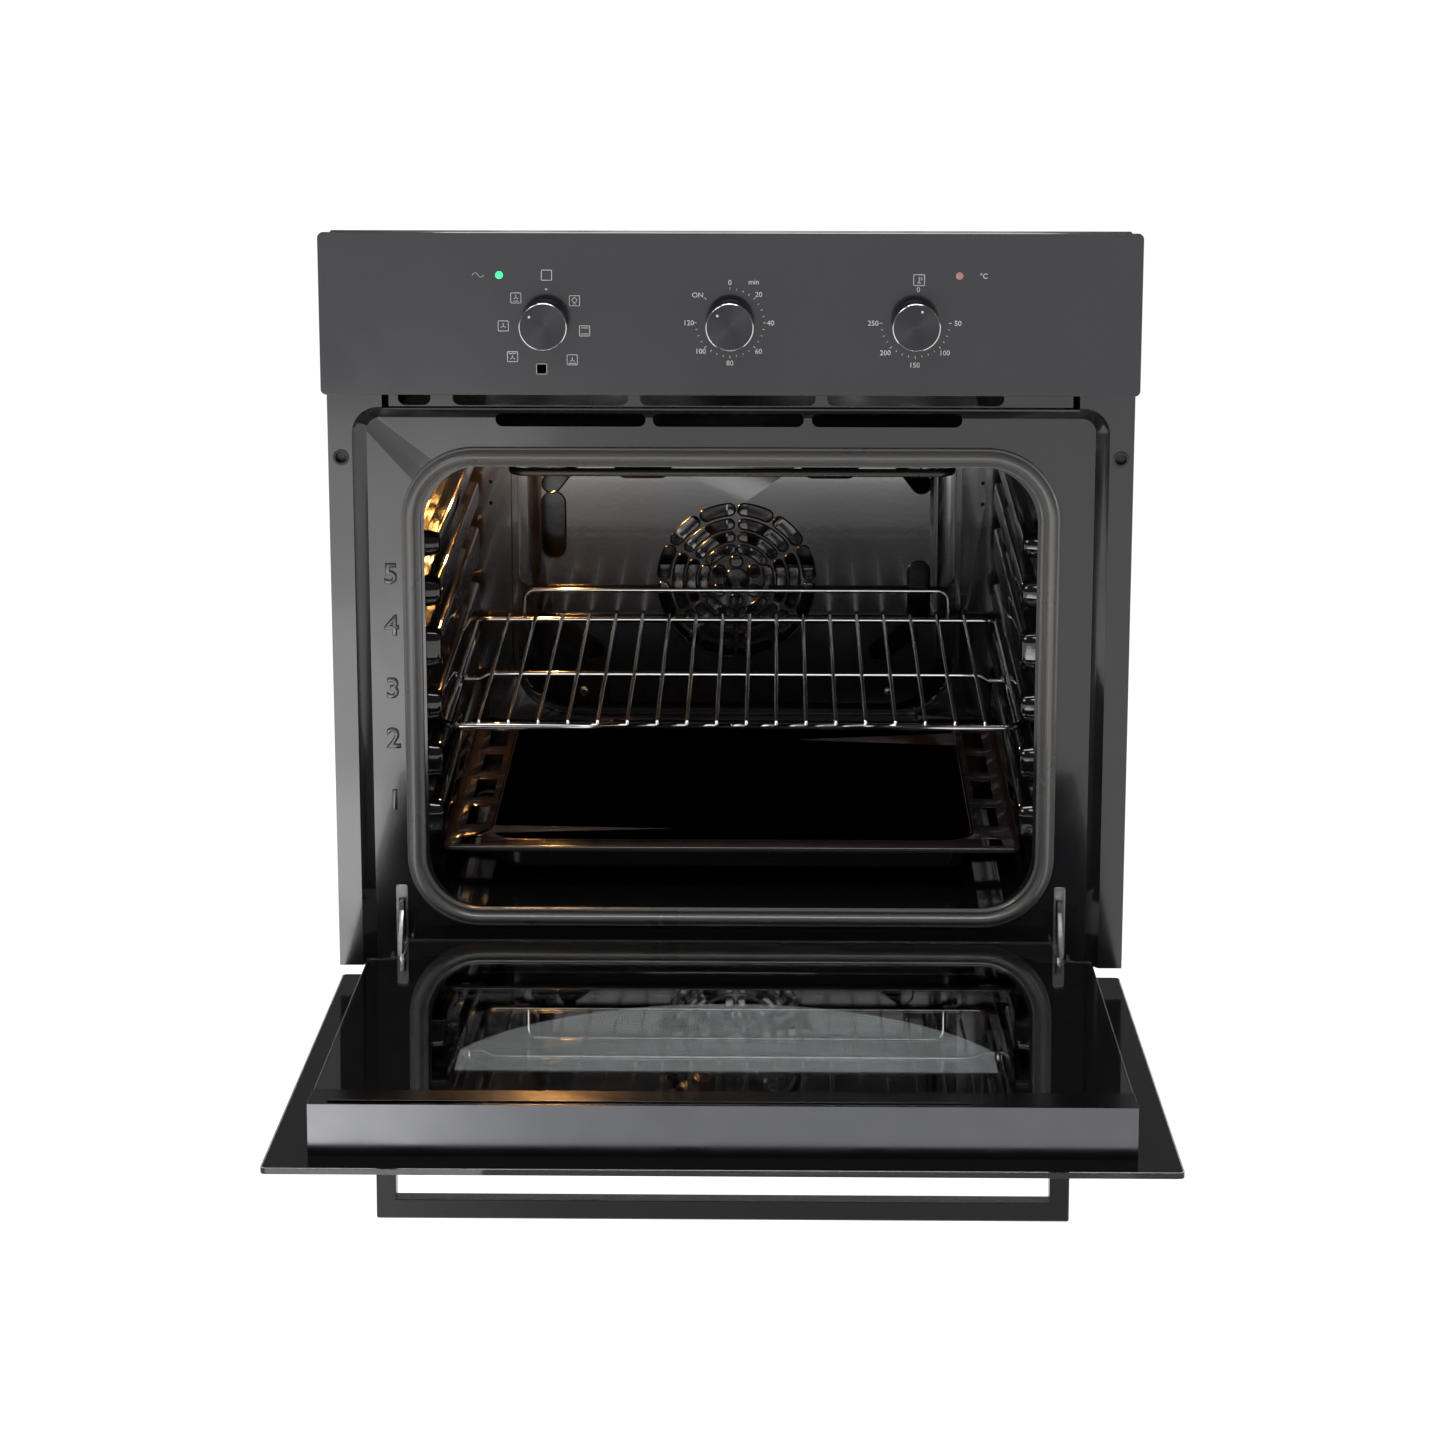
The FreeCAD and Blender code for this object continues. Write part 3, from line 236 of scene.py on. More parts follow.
@dataclass(frozen=True)
class Finish:
    """One finish: a Principled surface with its pattern, bump and handling marks."""

    name: str
    slot: str
    base: tuple[float, float, float]
    tint: tuple[float, float, float]
    effect: Effect
    scale: float
    bump: float
    rough: tuple[float, float]
    metallic: float = 0.0
    coat: float = 0.0
    specular: float = 0.5
    clear: float = 0.0
    glow: float = 0.0
    anisotropic: float = 0.0
    pivot: tuple[float, float, float] = (0.0, 0.0, 0.0)

    def material(self) -> bpy.types.Material:
        """Returns this finish's material, built at the first call."""
        if self.name not in BUILT:
            BUILT[self.name] = self._build()
        return BUILT[self.name]

    def _build(self) -> bpy.types.Material:
        """Builds the material.

        Returns:
            The new material.
        """
        made = bpy.data.materials.new(self.name)
        made.use_nodes = True
        sheet = Sheet(made.node_tree)
        place = sheet.add("TexCoord").outputs["Object"]
        place = sheet.add("Mapping", {"Vector": place, "Location": tuple(-p for p in self.pivot)}).outputs[0]
        pattern = sheet.add("Group", node_tree=EFFECTS.get(self.effect))
        smudge = sheet.add("Group", node_tree=EFFECTS.get(Effect.SMUDGE))
        for node, scale in ((pattern, self.scale), (smudge, 9.0)):
            sheet.tree.links.new(place, node.inputs["Vector"])
            node.inputs["Scale"].default_value = scale
        colour = sheet.add("Mix", data_type="RGBA")
        sheet.tree.links.new(pattern.outputs["Value"], colour.inputs[0])
        colour.inputs[6].default_value = (*self.base, 1.0)
        colour.inputs[7].default_value = (*self.tint, 1.0)
        rough = sheet.add("MapRange", {"Value": smudge.outputs["Value"], "To Min": self.rough[0],
                                       "To Max": self.rough[1]})
        bump = sheet.add("Bump", {"Height": pattern.outputs["Height"], "Strength": 1.0,
                                  "Distance": self.bump * MM})
        shader = sheet.add("BsdfPrincipled", {
            "Base Color": colour.outputs[2], "Roughness": rough.outputs["Result"],
            "Normal": bump.outputs["Normal"], "Metallic": self.metallic, "Coat Weight": self.coat,
            "Coat Roughness": 0.04, "Specular IOR Level": self.specular, "Transmission Weight": self.clear,
            "Anisotropic": self.anisotropic, "IOR": 1.5,
        })
        if self.glow:
            sheet.tree.links.new(colour.outputs[2], shader.inputs["Emission Color"])
            shader.inputs["Emission Strength"].default_value = self.glow
        sheet.add("OutputMaterial", {"Surface": shader.outputs[0]})
        return made


EFFECTS = EffectLibrary()
BUILT: dict[str, bpy.types.Material] = {}
BLACK = (0.006, 0.006, 0.007)
ENAMEL = Finish("black_enamel", "enamel", (0.010, 0.010, 0.012), (0.016, 0.016, 0.018), Effect.PEEL, 420.0,
                0.010, (0.09, 0.17), coat=0.3, specular=0.6)
CAVITY = Finish("fired_enamel", "cavity_enamel", (0.004, 0.0036, 0.0044), (0.007, 0.0064, 0.0076), Effect.PEEL,
                300.0, 0.02, (0.04, 0.07), coat=0.2, specular=0.7)
BACK = replace(CAVITY, name="fired_enamel_back", bump=0.03, rough=(0.15, 0.21))
PANEL_GLASS = Finish("smoked_glass", "panel_glass", (0.022, 0.021, 0.026), (0.028, 0.027, 0.032), Effect.FLECK,
                     900.0, 0.002, (0.10, 0.20), specular=0.6)
PANE = Finish("clear_pane", "door_glass", (0.66, 0.68, 0.68), (0.70, 0.72, 0.72), Effect.PEEL, 30.0, 0.0,
              (0.0, 0.02), clear=1.0)
PANE_PRINT = Finish("pane_print", "door_glass", BLACK, (0.009, 0.009, 0.010), Effect.FLECK, 700.0, 0.002,
                    (0.06, 0.14), specular=0.5)
INNER_PANE = replace(PANE, name="inner_pane_glass", slot="inner_pane")
MID_PANE = replace(PANE, name="mid_pane_glass", slot="mid_pane")
ZINC = Finish("galvanised_sheet", "galvanised", (0.34, 0.35, 0.36), (0.52, 0.53, 0.54), Effect.SPANGLE, 90.0,
              0.02, (0.3, 0.48), metallic=1.0)
SHEET = Finish("painted_sheet", "black_sheet", (0.014, 0.014, 0.015), (0.03, 0.03, 0.032), Effect.PEEL, 600.0,
               0.02, (0.32, 0.5))
TRIM = Finish("door_trim_paint", "trim", (0.115, 0.116, 0.124), (0.135, 0.136, 0.144), Effect.PEEL, 700.0,
              0.006, (0.14, 0.2), metallic=1.0)
KNOB = Finish("knob_side", "knob", (0.020, 0.020, 0.022), (0.032, 0.032, 0.034), Effect.FLECK, 1200.0, 0.01,
              (0.3, 0.42), metallic=0.4)
KNOB_FACE = Finish("knob_spun_face", "knob", (0.035, 0.035, 0.04), (0.06, 0.06, 0.065), Effect.RINGS, 700.0,
                   0.03, (0.28, 0.36), metallic=0.8)
KNOB_RIM = Finish("knob_cut_rim", "knob", (0.55, 0.55, 0.56), (0.7, 0.7, 0.7), Effect.RINGS, 2000.0, 0.002,
                  (0.12, 0.2), metallic=1.0)
PRINT = Finish("dial_print", "panel_glass", (0.66, 0.66, 0.67), (0.74, 0.74, 0.75), Effect.FLECK, 2500.0, 0.004,
               (0.4, 0.5))
HANDLE = Finish("handle_satin", "handle", (0.005, 0.0045, 0.0055), (0.008, 0.0075, 0.0085), Effect.BRUSH, 900.0,
                0.004, (0.16, 0.24), specular=0.25)
SHAFT = Finish("turned_steel", "shaft_steel", (0.5, 0.5, 0.5), (0.62, 0.62, 0.62), Effect.RINGS, 900.0, 0.01,
               (0.2, 0.34), metallic=1.0)
HINGE = Finish("hinge_plate", "hinge_steel", (0.42, 0.42, 0.42), (0.58, 0.58, 0.57), Effect.SPANGLE, 260.0,
               0.02, (0.26, 0.4), metallic=1.0)
CHROME = Finish("chromed_wire", "chrome_wire", (0.60, 0.60, 0.61), (0.72, 0.72, 0.72), Effect.PEEL, 500.0,
                0.012, (0.07, 0.16), metallic=1.0)
TRAY = Finish("speckled_enamel", "tray_enamel", (0.022, 0.017, 0.018), (0.034, 0.027, 0.028), Effect.PEEL, 260.0,
              0.03, (0.12, 0.22), coat=0.3, specular=0.6)
SEAL = Finish("silicone_seal", "seal", (0.15, 0.146, 0.142), (0.19, 0.186, 0.18), Effect.FLECK, 700.0, 0.02,
              (0.26, 0.38), coat=0.4)
WOOL = Finish("glass_wool", "wool", (0.66, 0.60, 0.38), (0.8, 0.76, 0.56), Effect.BRUSH, 160.0, 1.2,
              (0.85, 0.95))
HEATER = Finish("heater_sheath", "heater_steel", (0.06, 0.055, 0.05), (0.11, 0.10, 0.09), Effect.FLECK, 500.0,
                0.01, (0.24, 0.36), metallic=0.9)
CERAMIC = Finish("lamp_ceramic", "socket_ceramic", (0.72, 0.70, 0.66), (0.8, 0.78, 0.74), Effect.FLECK, 500.0,
                 0.01, (0.35, 0.5))
LENS = Finish("lamp_cover_glass", "lamp_glass", (0.98, 0.9, 0.7), (1.0, 0.93, 0.75), Effect.PEEL, 90.0, 0.05,
              (0.05, 0.1), clear=1.0)
BULB = Finish("lit_bulb", "bulb_glass", (1.0, 0.55, 0.16), (1.0, 0.60, 0.20), Effect.PEEL, 90.0, 0.0,
              (0.2, 0.3), glow=90.0)
BLOWER = Finish("blower_aluminium", "blower_alu", (0.6, 0.6, 0.6), (0.72, 0.72, 0.72), Effect.SPANGLE, 140.0,
                0.01, (0.25, 0.4), metallic=1.0)
MOTOR = Finish("motor_laminations", "motor_steel", (0.24, 0.24, 0.25), (0.4, 0.4, 0.41), Effect.BRUSH, 1400.0,
               0.06, (0.35, 0.5), metallic=1.0)
FAN = Finish("fan_bright_sheet", "fan_steel", (0.16, 0.16, 0.165), (0.26, 0.26, 0.265), Effect.BRUSH, 500.0,
             0.006, (0.12, 0.2), metallic=1.0)
SWITCH = Finish("switch_moulding", "switch_plastic", (0.66, 0.65, 0.60), (0.72, 0.71, 0.66), Effect.FLECK,
                700.0, 0.02, (0.4, 0.55))
TERMINAL = Finish("terminal_moulding", "terminal_plastic", (0.03, 0.03, 0.03), (0.05, 0.05, 0.05), Effect.FLECK,
                  700.0, 0.02, (0.4, 0.55))
LIT_GREEN = Finish("lit_green_lens", "power_lens", (0.02, 0.9, 0.16), (0.05, 1.0, 0.25), Effect.PEEL, 800.0,
                   0.0, (0.1, 0.2), glow=1.6)
ROSE_LENS = Finish("unlit_rose_lens", "heating_lens", (0.42, 0.17, 0.18), (0.5, 0.24, 0.24), Effect.PEEL, 800.0,
                   0.002, (0.15, 0.25), coat=0.5)
SCREW = Finish("dark_zinc", "screw_steel", (0.26, 0.26, 0.25), (0.38, 0.38, 0.36), Effect.FLECK, 900.0, 0.01,
               (0.25, 0.4), metallic=1.0)
FLOOR = Finish("light_table", "", (0.84, 0.84, 0.84), (0.88, 0.88, 0.88), Effect.PEEL, 6.0, 0.0, (0.7, 0.8),
               glow=1.1)


# ---------------------------------------------------------------- mesh tools
@dataclass(frozen=True)
class Section:
    """One rounded rectangle of a loft, in its own plane, at a depth."""

    u0: float
    u1: float
    v0: float
    v1: float
    radius: float
    depth: float = 0.0

    def grown(self, by: float, depth: float) -> "Section":
        """Returns this outline moved outwards by a distance, at another depth."""
        radius = max(self.radius + by, 0.1 * MM)
        return Section(self.u0 - by, self.u1 + by, self.v0 - by, self.v1 + by, radius, depth)


def outline(bm: BMesh, section: Section, steps: int) -> list[BMEdge]:
    """Adds a rounded rectangle's edges.

    Args:
        bm: The mesh to add to.
        section: The outline and its depth.
        steps: How many edges round each corner.

    Returns:
        The outline's edges.
    """
    faces = set(bm.faces)
    corners = bmesh.ops.create_grid(bm, x_segments=1, y_segments=1, size=0.5)["verts"]
    for vert in corners:
        u = section.u1 if vert.co.x > 0 else section.u0
        v = section.v1 if vert.co.y > 0 else section.v0
        vert.co = (u, v, section.depth)
    bmesh.ops.bevel(bm, geom=corners, offset=section.radius, offset_type="OFFSET", segments=steps, profile=0.5,
                    affect="VERTICES", clamp_overlap=False, material=-1)
    made = [face for face in bm.faces if face not in faces]
    edges = list({edge for face in made for edge in face.edges})
    bmesh.ops.delete(bm, geom=made, context="FACES_ONLY")
    return edges


def loft(bm: BMesh, sections: Sequence[Section], steps: int = 8, closed: bool = False, caps: bool = True) -> None:
    """Skins a run of rounded rectangles.

    Args:
        bm: The mesh to add to.
        sections: The outlines in order.
        steps: How many edges round each corner.
        closed: Whether the last outline joins the first.
        caps: Whether an open run is closed with a face at each end.
    """
    loops = [outline(bm, section, steps) for section in sections]
    pairs = list(zip(loops, loops[1:]))
    if closed:
        pairs.append((loops[-1], loops[0]))
    for first, second in pairs:
        bmesh.ops.bridge_loops(bm, edges=first + second)
    if caps and not closed:
        for loop in (loops[0], loops[-1]):
            bmesh.ops.edgeloop_fill(bm, edges=loop)


def pulled(bm: BMesh, edges: Sequence[BMEdge], shift: Vector) -> list[BMEdge]:
    """Extrudes edges and moves the new ones.

    Args:
        bm: The mesh.
        edges: The edges to extrude.
        shift: How far the new edges go.

    Returns:
        The new outer edges.
    """
    made = bmesh.ops.extrude_edge_only(bm, edges=list(edges))["geom"]
    verts = {item for item in made if isinstance(item, BMVert)}
    bmesh.ops.translate(bm, verts=list(verts), vec=shift)
    return [item for item in made if isinstance(item, BMEdge) and all(v in verts for v in item.verts)]


def rod(bm: BMesh, points: Sequence[Sequence[float]], radius: float, bend: float = 0.0, sides: int = 12) -> None:
    """Adds a round bar bent at each inner point.

    Args:
        bm: The mesh to add to.
        points: The bar's corners in order.
        radius: The bar's radius.
        bend: The radius of its centreline at a corner.
        sides: How many sides it has.
    """
    path = [Vector(point) for point in points]
    here = path[0]
    first = (path[1] - here).normalized()
    turn = Matrix.Translation(here) @ first.to_track_quat("Z", "X").to_matrix().to_4x4()
    ring = bmesh.ops.create_circle(bm, cap_ends=False, segments=sides, radius=radius, matrix=turn)["verts"]
    edges = list({edge for vert in ring for edge in vert.link_edges})
    ends = [edges]
    for before, corner, after in zip(path, path[1:], path[2:]):
        into, out = (corner - before).normalized(), (after - corner).normalized()
        angle = into.angle(out)
        reach = bend * math.tan(angle / 2)
        start = corner - into * reach
        edges = pulled(bm, edges, start - here)
        inward = (out - into * into.dot(out)).normalized()
        verts = list({vert for edge in edges for vert in edge.verts})
        made = bmesh.ops.spin(bm, geom=verts + edges, cent=start + inward * bend, axis=into.cross(out), dvec=(0, 0, 0),
                              angle=angle, steps=6, use_merge=False, use_duplicate=False)["geom_last"]
        edges = [item for item in made if isinstance(item, BMEdge)]
        here = corner + out * reach
    ends.append(pulled(bm, edges, path[-1] - here))
    for loop in ends:
        bmesh.ops.edgeloop_fill(bm, edges=loop)


def lathe(bm: BMesh, profile: Sequence[tuple[float, float]], centre: Vector, steps: int = 64) -> None:
    """Turns a profile round a line along Y.

    Args:
        bm: The mesh to add to.
        profile: (radius, distance along Y from the centre) in order.
        centre: A point on the axis.
        steps: How many sides it has.
    """
    verts = [bm.verts.new(centre + Vector((radius, along, 0))) for radius, along in profile]
    edges = [bm.edges.new(pair) for pair in zip(verts, verts[1:])]
    bmesh.ops.spin(bm, geom=verts + edges, cent=centre, axis=(0, 1, 0), dvec=(0, 0, 0), angle=math.tau,
                   steps=steps, use_merge=True, use_duplicate=False)
    bmesh.ops.remove_doubles(bm, verts=bm.verts, dist=0.002 * MM)


def block(bm: BMesh, low: Sequence[float], high: Sequence[float], turn: float = 0.0) -> None:
    """Adds a box between two corners, turned about Y by degrees."""
    lo, hi = Vector(low), Vector(high)
    size = Matrix.Diagonal(((hi - lo)[:] + (1.0,)))
    spot = Matrix.Translation((lo + hi) / 2) @ Matrix.Rotation(math.radians(turn), 4, "Y")
    bmesh.ops.create_cube(bm, size=1.0, matrix=spot @ size)


def lettering(bm: BMesh, words: str, size: float, depth: float, centre: Vector, round_edge: float = 0.0) -> None:
    """Adds raised characters that face -Y.

    Args:
        bm: The mesh to add to.
        words: The characters.
        size: The type size.
        depth: How far they stand out.
        centre: The middle of the characters, on the surface.
        round_edge: The bevel of their edges.
    """
    curve = bpy.data.curves.new("type", "FONT")
    curve.body, curve.size, curve.extrude = words, size, depth / 2
    curve.bevel_depth, curve.resolution_u = round_edge, 3
    curve.align_x, curve.align_y = "CENTER", "CENTER"
    holder = bpy.data.objects.new("type", curve)
    mesh = bpy.data.meshes.new_from_object(holder)
    bounds = [vert.co for vert in mesh.vertices]
    middle = [(min(co[n] for co in bounds) + max(co[n] for co in bounds)) / 2 for n in (0, 1)]
    shift = Matrix.Translation((-middle[0], -middle[1], 0))
    mesh.transform(Matrix.Translation(centre) @ Matrix.Rotation(math.pi / 2, 4, "X") @ shift)
    bm.from_mesh(mesh)
    bpy.data.objects.remove(holder)
    bpy.data.curves.remove(curve)
    bpy.data.meshes.remove(mesh)


def piece(name: str, bm: BMesh, finish: Finish, body: str = "oven_body", nodes: Sequence[str] = (),
          smooth: float = 32.0, turned: Optional[Matrix] = None, outward: bool = True) -> bpy.types.Object:
    """Makes a finished piece from a mesh and joins it to its body.

    Args:
        name: The piece's name.
        bm: Its mesh, which is used up.
        finish: Its finish.
        body: The body that it moves with.
        nodes: The frame's nodes that it stands for.
        smooth: The sharpest angle in degrees that is shaded smooth.
        turned: Where its mesh is moved to.
        outward: Whether its normals are worked out again.

    Returns:
        The new object.
    """
    if turned is not None:
        bmesh.ops.transform(bm, matrix=turned, verts=bm.verts)
    if outward:
        bmesh.ops.remove_doubles(bm, verts=bm.verts, dist=0.0005 * MM)
        bmesh.ops.recalc_face_normals(bm, faces=bm.faces)
    for face in bm.faces:
        face.smooth = True
    mesh = bpy.data.meshes.new(name)
    bm.to_mesh(mesh)
    bm.free()
    mesh.set_sharp_from_angle(angle=math.radians(smooth))
    mesh.materials.append(finish.material())
    made = bpy.data.objects.new(name, mesh)
    bpy.context.scene.collection.objects.link(made)
    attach(made, body)
    if nodes:
        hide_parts(*nodes)
    LOG.info("%s on %s: %d faces, %s", name, body, len(mesh.polygons), finish.name)
    return made


def merged(node: str) -> BMesh:
    """Returns a merged copy of a frame node's mesh, with its flats made whole."""
    bm = bmesh.new()
    bm.from_mesh(frame["nodes"][node].data)
    bmesh.ops.remove_doubles(bm, verts=bm.verts, dist=0.002 * MM)
    bmesh.ops.dissolve_limit(bm, angle_limit=math.radians(0.6), verts=bm.verts, edges=bm.edges)
    return bm


def softened(node: str, finish: Finish, width: float, segments: int = 2, angle: float = 38.0) -> bpy.types.Object:
    """Stands in for a frame node with the same piece, its edges rounded.

    Args:
        node: The frame's node.
        finish: Its finish.
        width: The rounding of its edges.
        segments: How many strips round an edge.
        angle: The angle in degrees past which an edge is rounded.

    Returns:
        The new object.
    """
    body = frame["nodes"][node]["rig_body"]
    made = piece(node + "_shell", merged(node), finish, body, [node], smooth=angle, outward=False)
    bevel = made.modifiers.new("edge_rounding", "BEVEL")
    bevel.width, bevel.segments, bevel.profile = width, segments, 0.5
    bevel.limit_method, bevel.angle_limit = "ANGLE", math.radians(angle)
    bevel.harden_normals, bevel.use_clamp_overlap = True, True
    return made


def dressed(finish: Finish, *names: str) -> None:
    """Gives frame nodes that stay as they are their finish."""
    for name in names:
        node = frame["nodes"][name]
        node.data.materials.clear()
        node.data.materials.append(finish.material())
        LOG.info("%s kept, %s", name, finish.name)


def middle(node: str) -> Vector:
    """Returns the centre of a frame node's box."""
    low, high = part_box(node)
    return (low + high) / 2


# ---------------------------------------------------------------- control panel
class Symbol(Enum):
    """Places of the selector: each one's angle in degrees, distance in mm and strokes in mm."""

    OFF = (3, 34.5, ())
    LAMP = (54, 27.0, ((0, 2.6, 1.9, 0.7), (1.9, 0.7, 0.8, -1.2), (-0.8, -1.2, 0.8, -1.2), (-1.9, 0.7, -0.8, -1.2),
                       (0, 2.6, -1.9, 0.7), (-0.8, -2.3, 0.8, -2.3)))
    ROOF_AND_FLOOR = (102, 29.6, ((-2.6, 2.2, 2.6, 2.2), (-2.6, -2.2, 2.6, -2.2)))
    FAN_AND_FLOOR = (144, 33.8, ((0, 0, 0, 1.8), (0, 0, 1.6, -1.1), (0, 0, -1.6, -1.1), (-2.6, -2.5, 2.6, -2.5)))
    GRILL = (184, 34.2, ((-2.6, 2.6, -1.3, 1.5), (-1.3, 1.5, 0, 2.6), (0, 2.6, 1.3, 1.5), (1.3, 1.5, 2.6, 2.6)))
    FAN_AND_GRILL = (223, 34.3, ((-2.6, 2.8, -1.3, 2.0), (-1.3, 2.0, 0, 2.8), (0, 2.8, 1.3, 2.0),
                                 (1.3, 2.0, 2.6, 2.8), (0, -0.6, 0, 1.0), (0, -0.6, 1.5, -1.7), (0, -0.6, -1.5, -1.7)))
    HOT_AIR = (265, 30.0, ((0, 0, 0, 1.8), (0, 0, 1.6, -1.1), (0, 0, -1.6, -1.1)))
    DEFROST = (311, 27.2, ((0, 0.4, 0, 2.0), (0, 0.4, 1.4, -0.6), (0, 0.4, -1.4, -0.6), (-1.6, -2.3, 1.6, -2.3)))


@dataclass
class Knob:
    """A turned control knob with a spun face, a cut rim and a raised pointer."""

    control: str
    pointer_degrees: float
    rim_width: float = 0.75 * MM
    edge: float = 0.35 * MM
    dish: float = 0.25 * MM
    pointer_at: float = 12.2 * MM
    pointer_radius: float = 0.95 * MM

    def build(self) -> None:
        """Makes the knob's side, rim, face and pointer."""
        node = self.control + "_knob"
        low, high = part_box(node)
        centre = (low + high) / 2
        radius = (high.x - low.x) / 2
        front, back = low.y - centre.y, high.y - centre.y
        inside = radius - self.rim_width
        side = bmesh.new()
        lathe(side, [(0.2 * radius, back - 8 * MM), (0.86 * radius, back - 8 * MM), (0.86 * radius, back),
                     (radius - self.edge, back), (radius, back - self.edge), (radius, back - 4 * MM),
                     (radius - 0.2 * MM, back - 4.2 * MM), (radius - 0.2 * MM, back - 4.8 * MM),
                     (radius, back - 5 * MM), (radius, front + self.rim_width)], centre)
        body = self.control if self.control == "selector" else self.control + "_control"
        piece(self.control + "_knob_side", side, KNOB, body, [node])
        rim = bmesh.new()
        lathe(rim, [(radius, front + self.rim_width), (inside + 0.1 * MM, front), (inside, front)], centre, 96)
        piece(self.control + "_knob_rim", rim, KNOB_RIM, body, smooth=60)
        face = bmesh.new()
        lathe(face, [(inside, front), (inside - 0.3 * MM, front + self.dish), (0.0, front + self.dish)], centre, 96)
        spun = replace(KNOB_FACE, name=self.control + "_spun_face", pivot=tuple(centre))
        piece(self.control + "_knob_face", face, spun, body)
        turn = math.radians(self.pointer_degrees)
        spot = centre + Vector((math.sin(turn) * self.pointer_at, 0, math.cos(turn) * self.pointer_at))
        dot = bmesh.new()
        r = self.pointer_radius
        lathe(dot, [(r, front + self.dish), (r, front + 0.1 * MM), (0.7 * r, front - 0.1 * MM), (0, front - 0.15 * MM)],
              spot, 20)
        piece(self.control + "_knob_pointer", dot, PRINT, body)


@dataclass
class ControlPanel:
    """The glass control panel with its tray, print, lamps and knobs."""

    print_depth: float = 0.12 * MM
    line: float = 0.42 * MM
    icon_half: float = 3.9 * MM
    type_size: float = 5.3 * MM
    tick_radius: float = 24.2 * MM
    label_radius: float = 29.4 * MM
    lamp_radius: float = 2.7 * MM

    def build(self) -> None:
        """Makes the whole panel."""
        softened("fascia_glass", PANEL_GLASS, 0.7 * MM, 3)
        softened("fascia_carrier", SHEET, 0.5 * MM)
        self.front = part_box("fascia_glass")[0].y - self.print_depth / 2
        self._print()
        self._lamps()
        for control, degrees in (("selector", -53.0), ("timer", -46.0), ("thermostat", 19.0)):
            Knob(control, degrees).build()
        dressed(SHAFT, "selector_shaft", "timer_shaft", "thermostat_shaft")

    def _stroke(self, bm: BMesh, x: float, z: float, stroke: Sequence[float], width: float) -> None:
        """Adds one straight printed line.

        Args:
            bm: The mesh to add to.
            x: The mark's centre.
            z: The mark's centre.
            stroke: Its two ends in mm from the centre.
            width: Its width.
        """
        start, end = Vector(stroke[:2]) * MM, Vector(stroke[2:]) * MM
        spot = Vector((x, self.front, z)) + Vector(((start.x + end.x) / 2, 0, (start.y + end.y) / 2))
        half = Vector(((end - start).length / 2 + width / 2, self.print_depth / 2, width / 2))
        turn = math.degrees(math.atan2(-(end.y - start.y), end.x - start.x))
        block(bm, spot - half, spot + half, turn)

    def _print(self) -> None:
        """Makes the dials' lines, numbers and symbols."""
        bm = bmesh.new()
        selector, timer, thermostat = (middle(name + "_knob") for name in ("selector", "timer", "thermostat"))
        for symbol in Symbol:
            degrees, reach, strokes = symbol.value
            x, z = self._around(selector, degrees, reach * MM)
            flat = Section(x - self.icon_half, x + self.icon_half, z - self.icon_half, z + self.icon_half, 0.8 * MM)
            rings = [flat.grown(by, self.front + side * self.print_depth / 2)
                     for by, side in ((0, 1), (0, -1), (-self.line, -1), (-self.line, 1))]
            icon = bmesh.new()
            loft(icon, rings, 4, closed=True)
            bmesh.ops.transform(icon, matrix=FRONT, verts=icon.verts)
            self._take(bm, icon)
            for stroke in strokes:
                self._stroke(bm, x, z, stroke, self.line)
        x, z = self._around(selector, 3, self.tick_radius)
        self._stroke(bm, x, z, (0, 0, 0.3, 0), 1.3 * MM)
        for minutes in range(0, 121, 5):
            self._tick(bm, timer, 2.25 * minutes, 1.0 if minutes % 20 else 1.6)
            if minutes % 20 == 0:
                self._label(bm, timer, 2.25 * minutes, str(minutes), self.label_radius)
        self._tick(bm, timer, 315, 1.6)
        self._label(bm, timer, 311, "ON", self.label_radius + 1.5 * MM)
        self._label(bm, timer, 30, "min", self.label_radius + 5 * MM)
        self._label(bm, thermostat, 4, "0", 24.6 * MM)
        for step in range(5):
            self._label(bm, thermostat, 90 + 45 * step, str(50 * step + 50), self.label_radius + 1.2 * MM)
            for part in range(4 if step < 4 else 1):
                self._tick(bm, thermostat, 90 + 45 * step + 11.25 * part, 0.9 if part else 1.8)
        self._thermometer(bm, thermostat)
        lamp, idle = middle("power_lens"), middle("heating_lens")
        self._label(bm, idle, 90, "°C", 17.4 * MM)
        for step in range(12):
            first, second = step / 12 * math.tau, (step + 1) / 12 * math.tau
            wave = (8.2 * step / 12 - 19.4, 1.7 * math.sin(first), 8.2 * (step + 1) / 12 - 19.4, 1.7 * math.sin(second))
            self._stroke(bm, lamp.x, lamp.z, wave, 0.34 * MM)
        piece("dial_printing", bm, PRINT)

    @staticmethod
    def _take(bm: BMesh, other: BMesh) -> None:
        """Adds another mesh to this one and frees it."""
        mesh = bpy.data.meshes.new("part")
        other.to_mesh(mesh)
        other.free()
        bm.from_mesh(mesh)
        bpy.data.meshes.remove(mesh)

    @staticmethod
    def _around(centre: Vector, degrees: float, reach: float) -> tuple[float, float]:
        """Returns the x and z of a point on a dial, clockwise from the top."""
        turn = math.radians(degrees)
        return centre.x + reach * math.sin(turn), centre.z + reach * math.cos(turn)

    def _tick(self, bm: BMesh, centre: Vector, degrees: float, length: float) -> None:
        """Adds a radial tick of a length in mm to a dial."""
        turn = math.radians(degrees)
        x, z = self._around(centre, degrees, self.tick_radius)
        tip = (length * math.sin(turn), length * math.cos(turn))
        self._stroke(bm, x, z, (0, 0, *tip), 0.4 * MM)

    def _label(self, bm: BMesh, centre: Vector, degrees: float, words: str, reach: float) -> None:
        """Adds a dial's characters at an angle and a distance."""
        x, z = self._around(centre, degrees, reach)
        lettering(bm, words, self.type_size, self.print_depth, Vector((x, self.front, z)))

